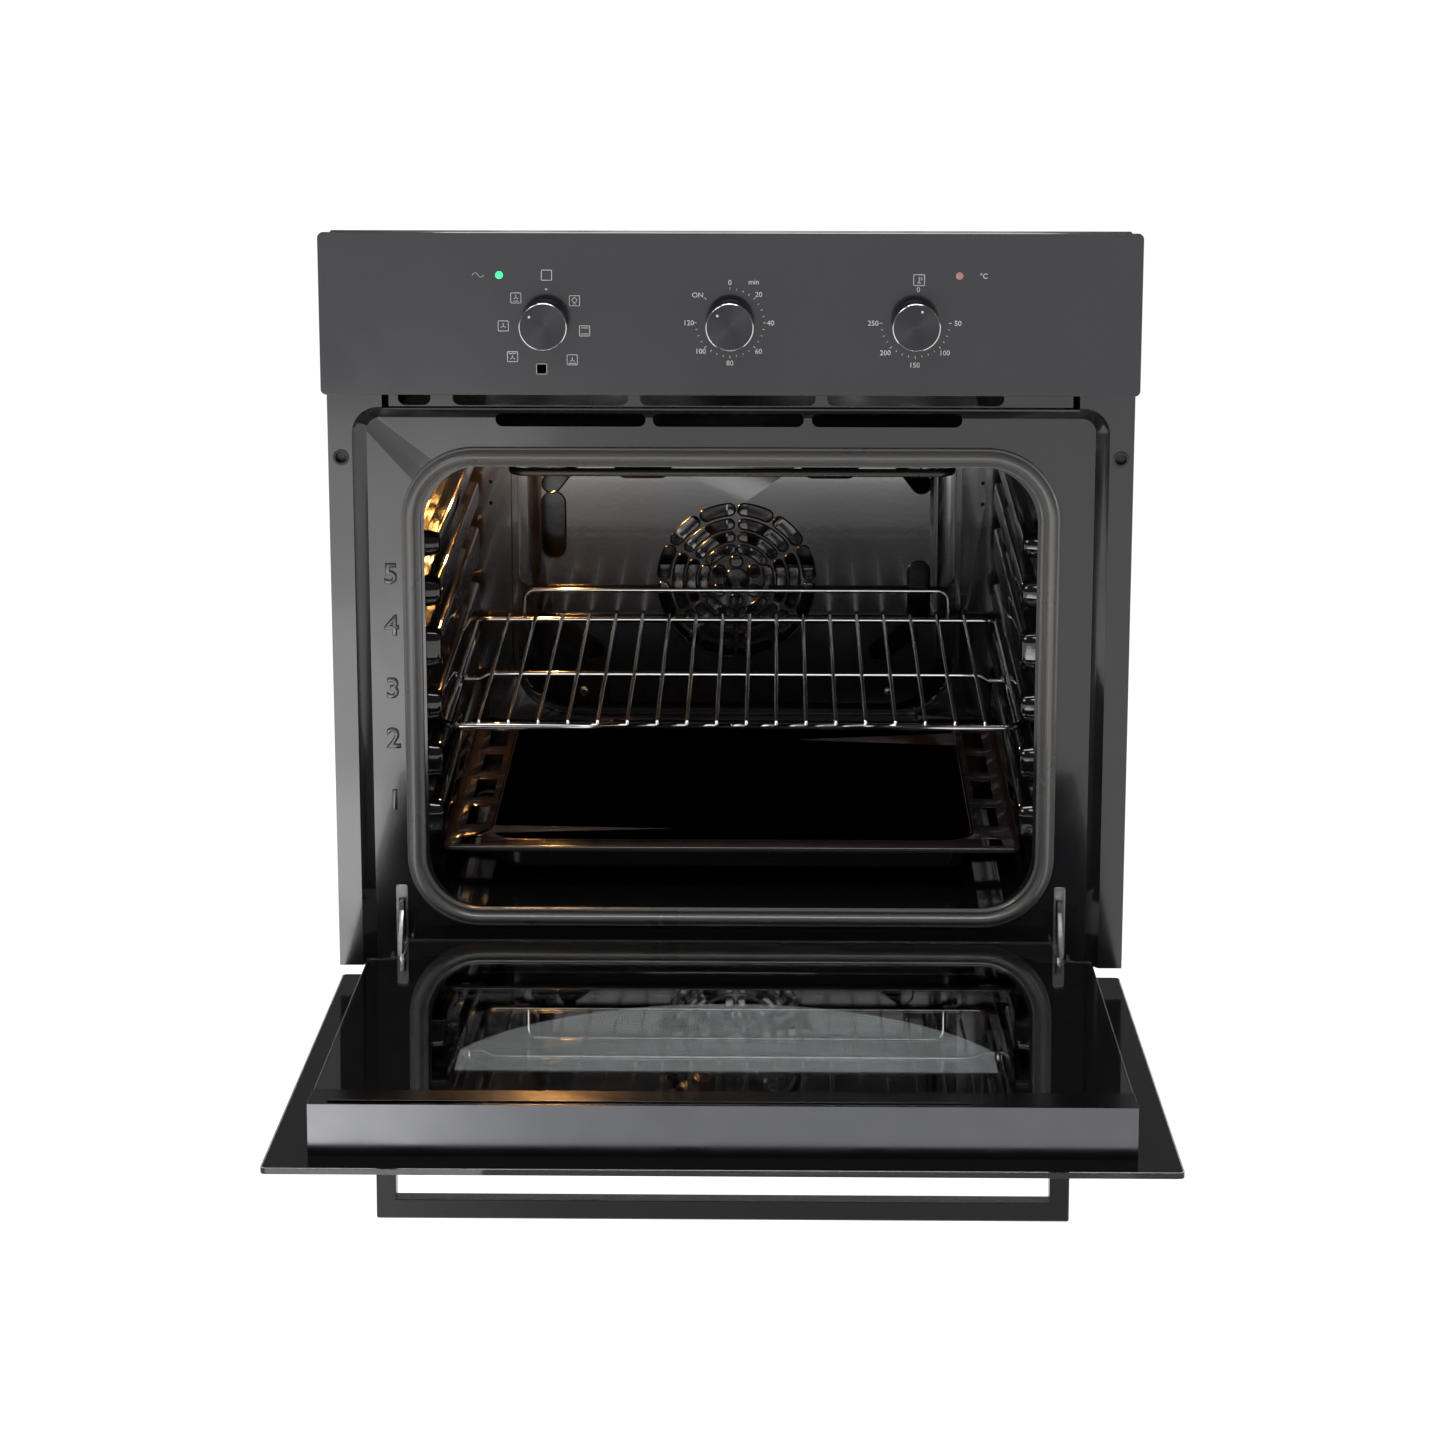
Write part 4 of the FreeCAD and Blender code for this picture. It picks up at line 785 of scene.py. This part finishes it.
    def _thermometer(self, bm: BMesh, centre: Vector) -> None:
        """Adds the thermostat's square sign."""
        x, z = self._around(centre, 4, 31.5 * MM)
        half = self.icon_half / MM
        for stroke in ((-half, half, half, half), (-half, -half, half, -half), (-half, -half, -half, half),
                       (half, -half, half, half), (0, -1.6, 0, 2.2), (-1.2, -2, 1.2, -2), (1.2, 1.6, 2.2, 1.6),
                       (1.2, 0.2, 2.2, 0.2)):
            self._stroke(bm, x, z, stroke, self.line)

    def _lamps(self) -> None:
        """Makes the two indicator lenses, domed flush with the glass."""
        for node, finish in (("power_lens", LIT_GREEN), ("heating_lens", ROSE_LENS)):
            centre, (low, high) = middle(node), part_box(node)
            front, back = self.front - centre.y, high.y - centre.y
            r = self.lamp_radius
            bm = bmesh.new()
            lathe(bm, [(0, front - 0.25 * MM), (0.5 * r, front - 0.2 * MM), (0.85 * r, front - 0.1 * MM), (r, front),
                       (r, back), (0, back)], centre, 32)
            piece(node + "_body", bm, finish, nodes=[node])


# ---------------------------------------------------------------- front frame and seal
@dataclass
class FrontFrame:
    """The enamelled front frame with its air strip, seal and embossed shelf numbers."""

    digit_height: float = 15 * MM
    digit_from_centre: float = 254 * MM
    level_heights: tuple[float, ...] = (161.5, 210.0, 248.9, 297.5, 337.0)

    def build(self) -> None:
        """Makes the frame, the strip, the digits and the seal."""
        softened("front_frame", ENAMEL, 0.55 * MM, 3, 25)
        softened("vent_strip", ENAMEL, 0.4 * MM)
        bm = bmesh.new()
        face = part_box("front_frame")[1].y - 1.2 * MM
        for level, height in enumerate(self.level_heights, 1):
            spot = Vector((-self.digit_from_centre, face, height * MM))
            lettering(bm, str(level), 1.42 * self.digit_height, 0.5 * MM, spot, 0.75 * MM)
        piece("shelf_numbers", bm, ENAMEL, smooth=70)
        self._bushes()
        self._seal()

    def _bushes(self) -> None:
        """Makes the two black bushes pressed into the cabinet fixing holes."""
        holes = next(mount for mount in frame["record"]["mounts"] if mount["name"] == "cabinet_fixing")
        spot = Vector(holes["pos_m"])
        r = holes["dims"]["hole_r_mm"] * MM
        half = holes["dims"]["spacing_x_mm"] / 2 * MM
        bm = bmesh.new()
        for side in (-1, 1):
            lathe(bm, [(0, 5.0 * MM), (0.8 * r, 5.0 * MM), (0.86 * r, 0), (0.95 * r, -0.35 * MM), (1.2 * r, -0.3 * MM),
                       (1.3 * r, -0.02 * MM)], spot + Vector((side * half, 0, 0)), 32)
        piece("fixing_bushes", bm, SHEET, smooth=50)

    def _seal(self) -> None:
        """Makes the seal's lips and hollow bead as one ring."""
        low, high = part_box("door_gasket")
        outer = Section(low.x, high.x, low.z, high.z, 55 * MM)
        front, back = low.y, high.y - 0.05 * MM
        profile = ((0, 0.0), (0, 0.28), (0.6, 0.36), (1.7, 0.30), (2.2, 0.42), (3.0, 0.62), (4.6, 0.9), (6.4, 1.0),
                   (8.2, 0.9), (9.4, 0.62), (9.9, 0.40), (10.6, 0.34), (12.0, 0.5), (13.0, 0.6), (14.0, 0.5),
                   (14.3, 0.2), (14.3, 0.0))
        bm = bmesh.new()
        loft(bm, [outer.grown(-inset * MM, back + (front - back) * rise) for inset, rise in profile], 14, closed=True)
        piece("door_seal", bm, SEAL, nodes=["door_gasket"], smooth=48, turned=FRONT)


# ---------------------------------------------------------------- cavity
@dataclass
class Cavity:
    """The enamelled liner: pressed side walls, floor, roof, back, fan cover, heater and lamp."""

    wall: float = 1.2 * MM
    rib_corner: float = 11 * MM
    flare: float = 2.6 * MM
    channel: float = 14.6 * MM
    rim_rise: float = 0.9 * MM
    rim_reach: float = 1.7 * MM
    rod_radius: float = 3.2 * MM

    def build(self) -> None:
        """Makes the whole cavity."""
        for node in ("cavity_floor", "cavity_roof"):
            softened(node, CAVITY, 0.4 * MM)
        softened("cavity_back", BACK, 1.0 * MM, 3)
        for side in (-1, 1):
            self._side_wall(side)
        self._fan_cover()
        self._grill_heater()
        dressed(LENS, "lamp_lens")
        dressed(BULB, "lamp_bulb")
        dressed(CERAMIC, "lamp_socket")
        dressed(SHAFT, "sensor_probe")
        dressed(HEATER, "bottom_element")
        self._cover_screws()

    def _ledges(self) -> list[float]:
        """Returns the heights of the six shelf channels' lower faces."""
        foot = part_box("baking_tray")[1].z - 5.0 * MM
        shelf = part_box("wire_shelf")[0].z - 0.1 * MM
        return [foot, foot + 48.0 * MM, shelf, foot + 135.5 * MM, foot + 184.0 * MM, foot + 223.5 * MM]

    def _side_wall(self, side: int) -> None:
        """Makes one side wall with its pressed ribs.

        Args:
            side: -1 for the left wall and 1 for the right.
        """
        node = "cavity_side_left" if side < 0 else "cavity_side_right"
        low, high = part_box(node)
        tip, out = sorted((abs(low.x), abs(high.x)))
        inner = out - self.wall
        bm = bmesh.new()
        block(bm, (inner, low.y, low.z), (out, high.y, high.z))
        front, rear = low.y + 24 * MM, high.y - 18 * MM
        ledges = self._ledges()
        tops = ledges[1:] + [min(ledges[5] + self.channel + 20.4 * MM, high.z - 2 * MM)]
        ribs = bmesh.new()
        for ledge, top in zip(ledges, tops):
            bottom = ledge + self.channel
            corner = min(self.rib_corner, (top - bottom) / 2 - 0.5 * MM)
            foot = Section(front, rear, bottom, top, corner, inner)
            depth = inner - tip
            steps = ((0.0, 0.0), (-0.3, 0.12), (-0.9, 0.35), (-1.3, 0.6), (-1.8, 0.8), (-2.8, 0.95), (-4.2, 1.0))
            loft(ribs, [foot.grown(by * MM, inner - depth * rise) for by, rise in steps], 8, caps=False)
            crest = outline(ribs, foot.grown(-4.2 * MM, tip), 8)
            bmesh.ops.edgeloop_fill(ribs, edges=crest)
        bmesh.ops.remove_doubles(ribs, verts=ribs.verts, dist=0.002 * MM)
        bmesh.ops.transform(ribs, matrix=SIDE, verts=ribs.verts)
        ControlPanel._take(bm, ribs)
        if side < 0:
            bmesh.ops.scale(bm, vec=(-1, 1, 1), verts=bm.verts)
        piece(node + "_pressed", bm, CAVITY, nodes=[node], smooth=50)

    def _fan_cover(self) -> None:
        """Makes the fan cover with a rolled rim round each opening."""
        low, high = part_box("fan_cover")
        bm = merged("fan_cover")
        bm.verts.index_update()
        bm.edges.index_update()
        plane = low.y
        rims: list[BMEdge] = []
        for edge in bm.edges:
            flat = all(abs(vert.co.y - plane) < 0.02 * MM for vert in edge.verts)
            inside = all(abs(vert.co.x) < high.x - 22 * MM and low.z + 13 * MM < vert.co.z < high.z - 15 * MM
                         for vert in edge.verts)
            if flat and inside and any(abs(face.normal.y) < 0.2 for face in edge.link_faces):
                rims.append(edge)
        away = {vert.index: Vector() for edge in rims for vert in edge.verts}
        for edge in rims:
            wall = next(face for face in edge.link_faces if abs(face.normal.y) < 0.2)
            for vert in edge.verts:
                away[vert.index] -= wall.normal
        chosen = [edge.index for edge in rims]
        tags = bm.verts.layers.float_vector.new("away")
        bm.verts.ensure_lookup_table()
        bm.edges.ensure_lookup_table()
        for index, way in away.items():
            bm.verts[index][tags] = way.normalized()
        picked = [bm.edges[index] for index in chosen]
        twins = bmesh.ops.duplicate(bm, geom=picked + list({vert for edge in picked for vert in edge.verts}))["geom"]
        rims = [item for item in twins if isinstance(item, BMEdge)]
        for reach, rise in ((0.2, 0.7), (0.4, 0.3), (0.5, -0.35), (0.5, -0.75)):
            made = bmesh.ops.extrude_edge_only(bm, edges=rims)["geom"]
            verts = {item for item in made if isinstance(item, BMVert)}
            for vert in verts:
                vert.co += vert[tags] * reach * MM - Vector((0, rise * self.rim_rise, 0))
            rims = [item for item in made if isinstance(item, BMEdge) and all(v in verts for v in item.verts)]
        bm.verts.layers.float_vector.remove(tags)
        piece("fan_cover_pierced", bm, BACK, nodes=["fan_cover"], smooth=30, outward=False)

    def _cover_screws(self) -> None:
        """Makes the fan cover's domed screw heads."""
        bm = bmesh.new()
        low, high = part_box("fan_cover_screws")
        r = 4.2 * MM
        for x in (low.x + 3.6 * MM, high.x - 3.6 * MM):
            for z in (low.z + 3.6 * MM, high.z - 3.6 * MM):
                lathe(bm, [(0.25 * r, 0.3 * MM), (0.45 * r, -1.5 * MM), (0.8 * r, -1.1 * MM), (r, -0.3 * MM), (r, 0.2 * MM)],
                      Vector((x, high.y, z)), 20)
        piece("fan_cover_screw_heads", bm, SCREW, nodes=["fan_cover_screws"])

    def _grill_heater(self) -> None:
        """Makes the two loops of the roof heater and their hangers."""
        low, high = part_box("grill_element")
        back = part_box("cavity_back")[0].y
        z = low.z + self.rod_radius * 1.04
        front, rear = low.y + self.rod_radius * 1.04, back - 100 * MM
        end = back - 40 * MM
        half = 168 * MM
        bm = bmesh.new()
        for loop in (((55, end), (55, rear), (half / MM, rear), (half / MM, front)),
                     ((30, end), (30, rear - 20 * MM), (120, rear - 20 * MM), (120, front + 40 * MM),
                      (60, front + 40 * MM), (60, rear - 60 * MM))):
            right = [(x * MM, y, z) for x, y in loop]
            left = [(-x, y, h) for x, y, h in reversed(right)]
            ends = ((55 if loop[0][0] == 55 else 30) * MM, end, high.z)
            path = [ends] + right + left + [(-ends[0], end, high.z)]
            rod(bm, path, self.rod_radius, 12 * MM)
        for y in (front + 70 * MM, rear - 70 * MM):
            block(bm, (-half - 5 * MM, y, z + 2 * MM), (half + 5 * MM, y + 10 * MM, z + 3.4 * MM))
        piece("roof_heater", bm, HEATER, nodes=["grill_element"], smooth=50)


# ---------------------------------------------------------------- racks
@dataclass
class WireShelf:
    """The chromed rack: a bent frame, a middle bar, wires hooked over the front and a rear guard."""

    frame_radius: float = 2.75 * MM
    wire_radius: float = 1.6 * MM
    guard_radius: float = 2.2 * MM
    wires: int = 18
    spread: float = 391 * MM
    guard_half: float = 182 * MM
    corner: float = 14 * MM

    def build(self) -> None:
        """Makes the rack as one welded piece."""
        low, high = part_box("wire_shelf")
        r = self.frame_radius
        side, front, back, z = high.x - r, low.y + r, high.y - r, low.z + r
        top = z + r + self.wire_radius - 0.3 * MM
        bm = bmesh.new()
        rod(bm, [(0, front, z), (side, front, z), (side, back, z), (-side, back, z), (-side, front, z), (0, front, z)],
            r, self.corner, 14)
        cross = front + 0.46 * (back - front)
        end, drop = side - 4.5 * MM, 4.2 * MM
        rod(bm, [(-end, cross, z - drop), (-end + 12 * MM, cross, z - drop), (-end + 20 * MM, cross, z),
                 (end - 20 * MM, cross, z), (end - 12 * MM, cross, z - drop), (end, cross, z - drop)],
            r - 0.4 * MM, 3 * MM)
        for side_end in (-end, end):
            rod(bm, [(side_end, cross, z - drop), (side_end, cross, z)], r - 0.4 * MM)
        pitch = self.spread / (self.wires - 1)
        for index in range(self.wires):
            x = (index - (self.wires - 1) / 2) * pitch
            rod(bm, [(x, front - 0.8 * MM, z + 1.2 * MM), (x, front + 0.6 * MM, top), (x, back - 0.5 * MM, top),
                     (x, back + 1.0 * MM, z + 1.4 * MM)], self.wire_radius, 1.2 * MM, 8)
        height = high.z - self.guard_radius
        g = self.guard_half
        rod(bm, [(-g, back, z), (-g, back, height), (g, back, height), (g, back, z)], self.guard_radius, 9 * MM)
        piece("chromed_rack", bm, CHROME, "shelf", ["wire_shelf"], smooth=50)


@dataclass
class BakingTray:
    """The enamelled tray: a deep drawn well, side flanges with holes and a rolled rim."""

    sheet: float = 1.0 * MM
    well_half: float = 187 * MM
    well_corner: float = 24 * MM
    hole_half: float = 8 * MM
    hole_from_centre: float = 202 * MM
    hole_run: float = 52 * MM

    def build(self) -> None:
        """Makes the tray."""
        low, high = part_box("baking_tray")
        top = high.z
        edge = Section(low.x, high.x, low.y, high.y, 6 * MM, top - 2.2 * MM)
        well = Section(-self.well_half, self.well_half, low.y + 18 * MM, high.y - 13 * MM, self.well_corner, top)
        floor = low.z + self.sheet
        run = [edge.grown(-0.9 * MM, top - 4.6 * MM), edge.grown(-0.2 * MM, top - 3.4 * MM), edge,
               edge.grown(-0.4 * MM, top - 0.9 * MM), edge.grown(-1.4 * MM, top - 0.2 * MM), edge.grown(-2.4 * MM, top),
               well.grown(1.8 * MM, top), well.grown(0.9 * MM, top - 0.3 * MM), well.grown(0.2 * MM, top - 1.2 * MM),
               well.grown(-0.4 * MM, top - 4 * MM), well.grown(-2.2 * MM, floor + 5 * MM),
               well.grown(-3.4 * MM, floor + 2 * MM), well.grown(-6 * MM, floor + 0.4 * MM),
               well.grown(-9 * MM, floor)]
        bm = bmesh.new()
        loft(bm, run, 8, caps=False)
        bmesh.ops.edgeloop_fill(bm, edges=outline(bm, run[-1], 8))
        bmesh.ops.remove_doubles(bm, verts=bm.verts, dist=0.002 * MM)
        pitch = (high.y - low.y - 84 * MM) / 3.72
        holes = [(high.y - 54 * MM - n * pitch, self.hole_run) for n in range(4)] + [(low.y + 16 * MM, 20 * MM)]
        for middle_y, length in holes:
            for y in (middle_y - length / 2, middle_y + length / 2):
                self._cut(bm, Vector((0, y, 0)), Vector((0, 1, 0)))
        for x in (self.hole_from_centre - self.hole_half, self.hole_from_centre + self.hole_half):
            for side in (-1, 1):
                self._cut(bm, Vector((side * x, 0, 0)), Vector((1, 0, 0)))
        gone = [face for face in bm.faces if self._in_hole(face.calc_center_median(), top, holes)]
        bmesh.ops.delete(bm, geom=gone, context="FACES")
        made = piece("deep_tray", bm, TRAY, "tray", ["baking_tray"], smooth=50)
        wall = made.modifiers.new("sheet", "SOLIDIFY")
        wall.thickness, wall.offset = self.sheet, -1.0

    @staticmethod
    def _cut(bm: BMesh, spot: Vector, normal: Vector) -> None:
        """Cuts every face along a plane."""
        bmesh.ops.bisect_plane(bm, geom=bm.verts[:] + bm.edges[:] + bm.faces[:], plane_co=spot, plane_no=normal,
                               dist=0.001 * MM)

    def _in_hole(self, spot: Vector, top: float, holes: Sequence[tuple[float, float]]) -> bool:
        """Returns whether a point on the flange lies in one of its holes."""
        across = abs(abs(spot.x) - self.hole_from_centre) < self.hole_half
        return across and abs(spot.z - top) < 0.05 * MM and any(abs(spot.y - y) < run / 2 for y, run in holes)


# ---------------------------------------------------------------- door
@dataclass
class Door:
    """The drop-down door: printed panes, body, trim with air slots, handle and hinges.

    Its pieces are laid out shut, with heights down from the glass's top edge, then swung open.
    """

    window_half: float = 189 * MM
    window_top: float = 201 * MM
    window_side: float = 251 * MM
    window_foot: float = 372 * MM
    print_depth: float = 0.15 * MM
    border: float = 62 * MM

    def build(self) -> None:
        """Makes the whole door."""
        hinge = next(joint for joint in frame["joints"] if joint["name"] == "door_hinge")
        pivot = Vector(hinge["pos_m"])
        stop = math.radians(hinge["range_deg"][1])
        self.swing = Matrix.Translation(pivot) @ Matrix.Rotation(stop, 4, "X") @ Matrix.Translation(-pivot)
        self.shut = {node: self._shut_box(node) for node in ("outer_glass", "inner_glass", "handle")}
        softened("outer_glass", PANE, 0.6 * MM, 3)
        softened("inner_glass", INNER_PANE, 0.5 * MM, 3)
        softened("mid_glass", MID_PANE, 0.4 * MM)
        softened("door_carrier", SHEET, 0.6 * MM)
        softened("top_trim", TRIM, 0.7 * MM, 3)
        softened("handle", HANDLE, 1.5 * MM, 1)
        for side in ("left", "right"):
            softened("hinge_receiver_" + side, HINGE, 0.35 * MM)
            softened("hinge_arm_" + side, HINGE, 0.5 * MM)
            softened("hinge_body_" + side, HINGE, 0.3 * MM)
        dressed(TRIM, "glass_brackets")
        dressed(SCREW, "handle_screws")
        self._outer_print()
        self._inner_print()

    def _shut_box(self, node: str) -> tuple[Vector, Vector]:
        """Returns a door node's box with the door shut."""
        back = self.swing.inverted()
        spots = [back @ vert.co for vert in frame["nodes"][node].data.vertices]
        low = Vector(min(spot[axis] for spot in spots) for axis in range(3))
        high = Vector(max(spot[axis] for spot in spots) for axis in range(3))
        return low, high

    def _sheet_with_window(self, name: str, outer: list[BMEdge], window: list[BMEdge], bm: BMesh, slot: str,
                           node_body: str = "door") -> None:
        """Fills between two outlines, gives the sheet its thickness and places it."""
        bmesh.ops.triangle_fill(bm, use_beauty=True, use_dissolve=True, edges=outer + window)
        made = bmesh.ops.extrude_face_region(bm, geom=bm.faces[:])["geom"]
        verts = [item for item in made if isinstance(item, BMVert)]
        bmesh.ops.translate(bm, verts=verts, vec=(0, 0, self.print_depth))
        finish = PANE_PRINT if slot == "door_glass" else replace(PANE_PRINT, name=slot + "_print", slot=slot)
        piece(name, bm, finish, node_body, turned=self.swing @ FRONT)

    def _outer_print(self) -> None:
        """Makes the black print behind the outer pane, round its arched window."""
        low, high = self.shut["outer_glass"]
        bm = bmesh.new()
        depth = high.y + 0.02 * MM
        outer = outline(bm, Section(low.x + 1 * MM, high.x - 1 * MM, low.z + 1 * MM, high.z - 1 * MM, 3 * MM, depth), 4)
        half, top = self.window_half, high.z - self.window_top
        side, foot = high.z - self.window_side, high.z - self.window_foot
        sag = side - foot
        radius = (half * half + sag * sag) / (2 * sag)
        centre = Vector((0, foot + radius, depth))
        start = bm.verts.new((-half, side, depth))
        sweep = 2 * math.asin(half / radius)
        arc = bmesh.ops.spin(bm, geom=[start], cent=centre, axis=(0, 0, 1), dvec=(0, 0, 0), angle=sweep, steps=28,
                             use_merge=False, use_duplicate=False)["geom_last"]
        end = next(item for item in arc if isinstance(item, BMVert))
        corners = [bm.verts.new((half, top, depth)), bm.verts.new((-half, top, depth))]
        known = set(outer)
        window = [bm.edges.new(pair) for pair in ((end, corners[0]), (corners[0], corners[1]), (corners[1], start))]
        window += [edge for edge in bm.edges if edge not in known and edge not in window]
        self._sheet_with_window("outer_pane_print", outer, window, bm, "door_glass")

    def _inner_print(self) -> None:
        """Makes the black border behind the inner pane."""
        low, high = self.shut["inner_glass"]
        bm = bmesh.new()
        depth = low.y - 0.02 * MM - self.print_depth
        edge = 1.5 * MM
        foot = low.z + 58 * MM
        outer = outline(bm, Section(low.x + edge, high.x - edge, foot, high.z - edge, 2 * MM, depth), 4)
        window = outline(bm, Section(low.x + self.border, high.x - self.border, foot + 30 * MM,
                                     high.z - 46 * MM, 26 * MM, depth), 8)
        self._sheet_with_window("inner_pane_print", outer, window, bm, "inner_pane")


# ---------------------------------------------------------------- casing and works
@dataclass
class Casing:
    """The galvanised casing with its screws."""

    screw_radius: float = 3.8 * MM

    def build(self) -> None:
        """Makes the panels and their screws."""
        for node in ("side_panel_left", "side_panel_right", "top_cover", "back_cover"):
            softened(node, ZINC, 0.3 * MM)
        softened("base_plate", ZINC, 0.4 * MM)
        self._screws()

    def _screws(self) -> None:
        """Makes the domed screws round the back cover's edge."""
        low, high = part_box("back_cover")
        bm = bmesh.new()
        r = self.screw_radius
        spots = [(side * (high.x - 9 * MM), low.z + share * (high.z - low.z)) for side in (-1, 1)
                 for share in (0.04, 0.35, 0.66, 0.96)]
        spots += [(x * high.x, high.z - 9 * MM) for x in (-0.5, 0.0, 0.5)]
        for x, z in spots:
            lathe(bm, [(0, 0.9 * MM), (0.3 * r, 1.0 * MM), (0.32 * r, 1.9 * MM), (0.7 * r, 1.6 * MM), (r, 0.5 * MM),
                       (r, -0.2 * MM)], Vector((x, high.y, z)), 20)
        piece("back_cover_screws", bm, SCREW)


class Works:
    """The pieces inside the casing, which keep the frame's shape."""

    FINISHES = (
        (WOOL, ("insulation",)),
        (ZINC, ("bottom_shield", "exhaust_duct")),
        (BLOWER, ("blower_wheel",)),
        (MOTOR, ("blower_motor", "fan_motor")),
        (TERMINAL, ("terminal_block",)),
        (CERAMIC, ("thermal_cutout",)),
        (SWITCH, ("selector_switch", "timer", "thermostat")),
        (FAN, ("fan_wheel",)),
    )

    def build(self) -> None:
        """Gives each kept piece its finish."""
        for finish, names in self.FINISHES:
            dressed(finish, *names)


# ---------------------------------------------------------------- studio
@dataclass
class Studio:
    """The camera, the soft lights and the pale floor under the hung oven."""

    camera_place: tuple[float, float, float] = (0.0329, -2.9895, 0.9673)
    tilt_degrees: float = 12.66
    yaw_degrees: float = 0.82
    lens: float = 93.18
    shift: float = -0.12
    floor_drop: float = 0.75

    def build(self) -> None:
        """Sets the camera, lights, world and floor."""
        lens = bpy.data.cameras.new("camera")
        lens.lens, lens.sensor_width, lens.shift_y = self.lens, 36.0, self.shift
        camera = bpy.data.objects.new("camera", lens)
        camera.location = self.camera_place
        camera.rotation_euler = (math.radians(90 - self.tilt_degrees), 0, math.radians(self.yaw_degrees))
        bpy.context.scene.collection.objects.link(camera)
        bpy.context.scene.camera = camera
        bpy.context.scene.view_settings.view_transform = "Standard"
        self._world()
        self._floor()
        self._area("high_left_box", (-1.6, -2.6, 2.4), (0, 0, 0.3), (1.0, 1.0), 16.0)
        self._area("top_box", (0, -0.9, 2.6), (0, -0.3, 0.3), (1.6, 0.8), 30.0)
        self._area("back_card", (0, 1.3, 0.86), (0, 0, 0.86), (0.74, 0.46), 1.6)
        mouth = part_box("door_gasket")[0]
        self._area("mouth_card", (0, mouth.y + 0.04, mouth.z + 0.215), (0, 0, mouth.z + 0.215), (0.4, 0.07), 0.28)
        for index, (width, depth) in enumerate(((0.45, 1.2), (0.75, 2.4), (1.1, 4.4))):
            place = (-0.5 - width / 2, -2.2 - depth / 2, -0.74 + 0.01 * index)
            self._area("low_left_glow_%d" % index, place, (place[0], place[1], 2.0), (width, depth),
                       4.6 * width * depth)
        self._lamp()

    @staticmethod
    def _world() -> None:
        """Sets a surround that is white below the horizon and dim above it."""
        world = bpy.data.worlds.new("surround")
        world.use_nodes = True
        sheet = Sheet(world.node_tree)
        way = sheet.add("TexCoord").outputs["Generated"]
        height = sheet.add("SeparateXYZ", {"Vector": way}).outputs["Z"]
        tone = sheet.add("MapRange", {"Value": height, "From Min": -0.05, "From Max": 0.03, "To Min": 1.0,
                                      "To Max": 0.10}, interpolation_type="SMOOTHSTEP").outputs["Result"]
        glow = sheet.add("Background", {"Color": (1.0, 1.0, 1.0, 1.0), "Strength": tone})
        sheet.add("OutputWorld", {"Surface": glow.outputs[0]})
        bpy.context.scene.world = world

    def _floor(self) -> None:
        """Lays the floor well below the oven, which hangs in its cabinet's place."""
        bm = bmesh.new()
        bmesh.ops.create_grid(bm, x_segments=4, y_segments=4, size=30.0,
                              matrix=Matrix.Translation((0, 0, -self.floor_drop)))
        mesh = bpy.data.meshes.new("studio_floor")
        bm.to_mesh(mesh)
        bm.free()
        mesh.materials.append(FLOOR.material())
        floor = bpy.data.objects.new("studio_floor", mesh)
        bpy.context.scene.collection.objects.link(floor)

    @staticmethod
    def _area(name: str, place: Sequence[float], aim: Sequence[float], size: tuple[float, float],
              power: float, colour: tuple[float, float, float] = (1.0, 1.0, 1.0)) -> None:
        """Adds a soft box.

        Args:
            name: The light's name.
            place: Where it hangs.
            aim: The point it faces.
            size: Its width and height.
            power: Its power in watts.
            colour: Its colour.
        """
        light = bpy.data.lights.new(name, "AREA")
        light.shape, light.size, light.size_y = "RECTANGLE", *size
        light.energy, light.color = power, colour
        holder = bpy.data.objects.new(name, light)
        holder.location = place
        holder.rotation_euler = (Vector(aim) - Vector(place)).to_track_quat("-Z", "Y").to_euler()
        bpy.context.scene.collection.objects.link(holder)

    @staticmethod
    def _lamp() -> None:
        """Adds the warm light of the cavity's lamp."""
        light = bpy.data.lights.new("cavity_lamp", "POINT")
        light.energy, light.color, light.shadow_soft_size = 2.4, (1.0, 0.46, 0.13), 0.006
        holder = bpy.data.objects.new("cavity_lamp", light)
        spot = middle("lamp_lens")
        holder.location = (spot.x, spot.y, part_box("lamp_lens")[0].z - 16 * MM)
        bpy.context.scene.collection.objects.link(holder)


def main() -> None:
    """Builds the oven piece by piece, then the studio round it."""
    logging.basicConfig(level=logging.INFO, format="%(name)s: %(message)s", stream=sys.stdout)
    assemblies = (ControlPanel(), FrontFrame(), Cavity(), WireShelf(), BakingTray(), Door(), Casing(), Works())
    for assembly in assemblies:
        LOG.info("building %s", type(assembly).__name__)
        assembly.build()
    Studio().build()


if __name__ == "__main__":
    main()
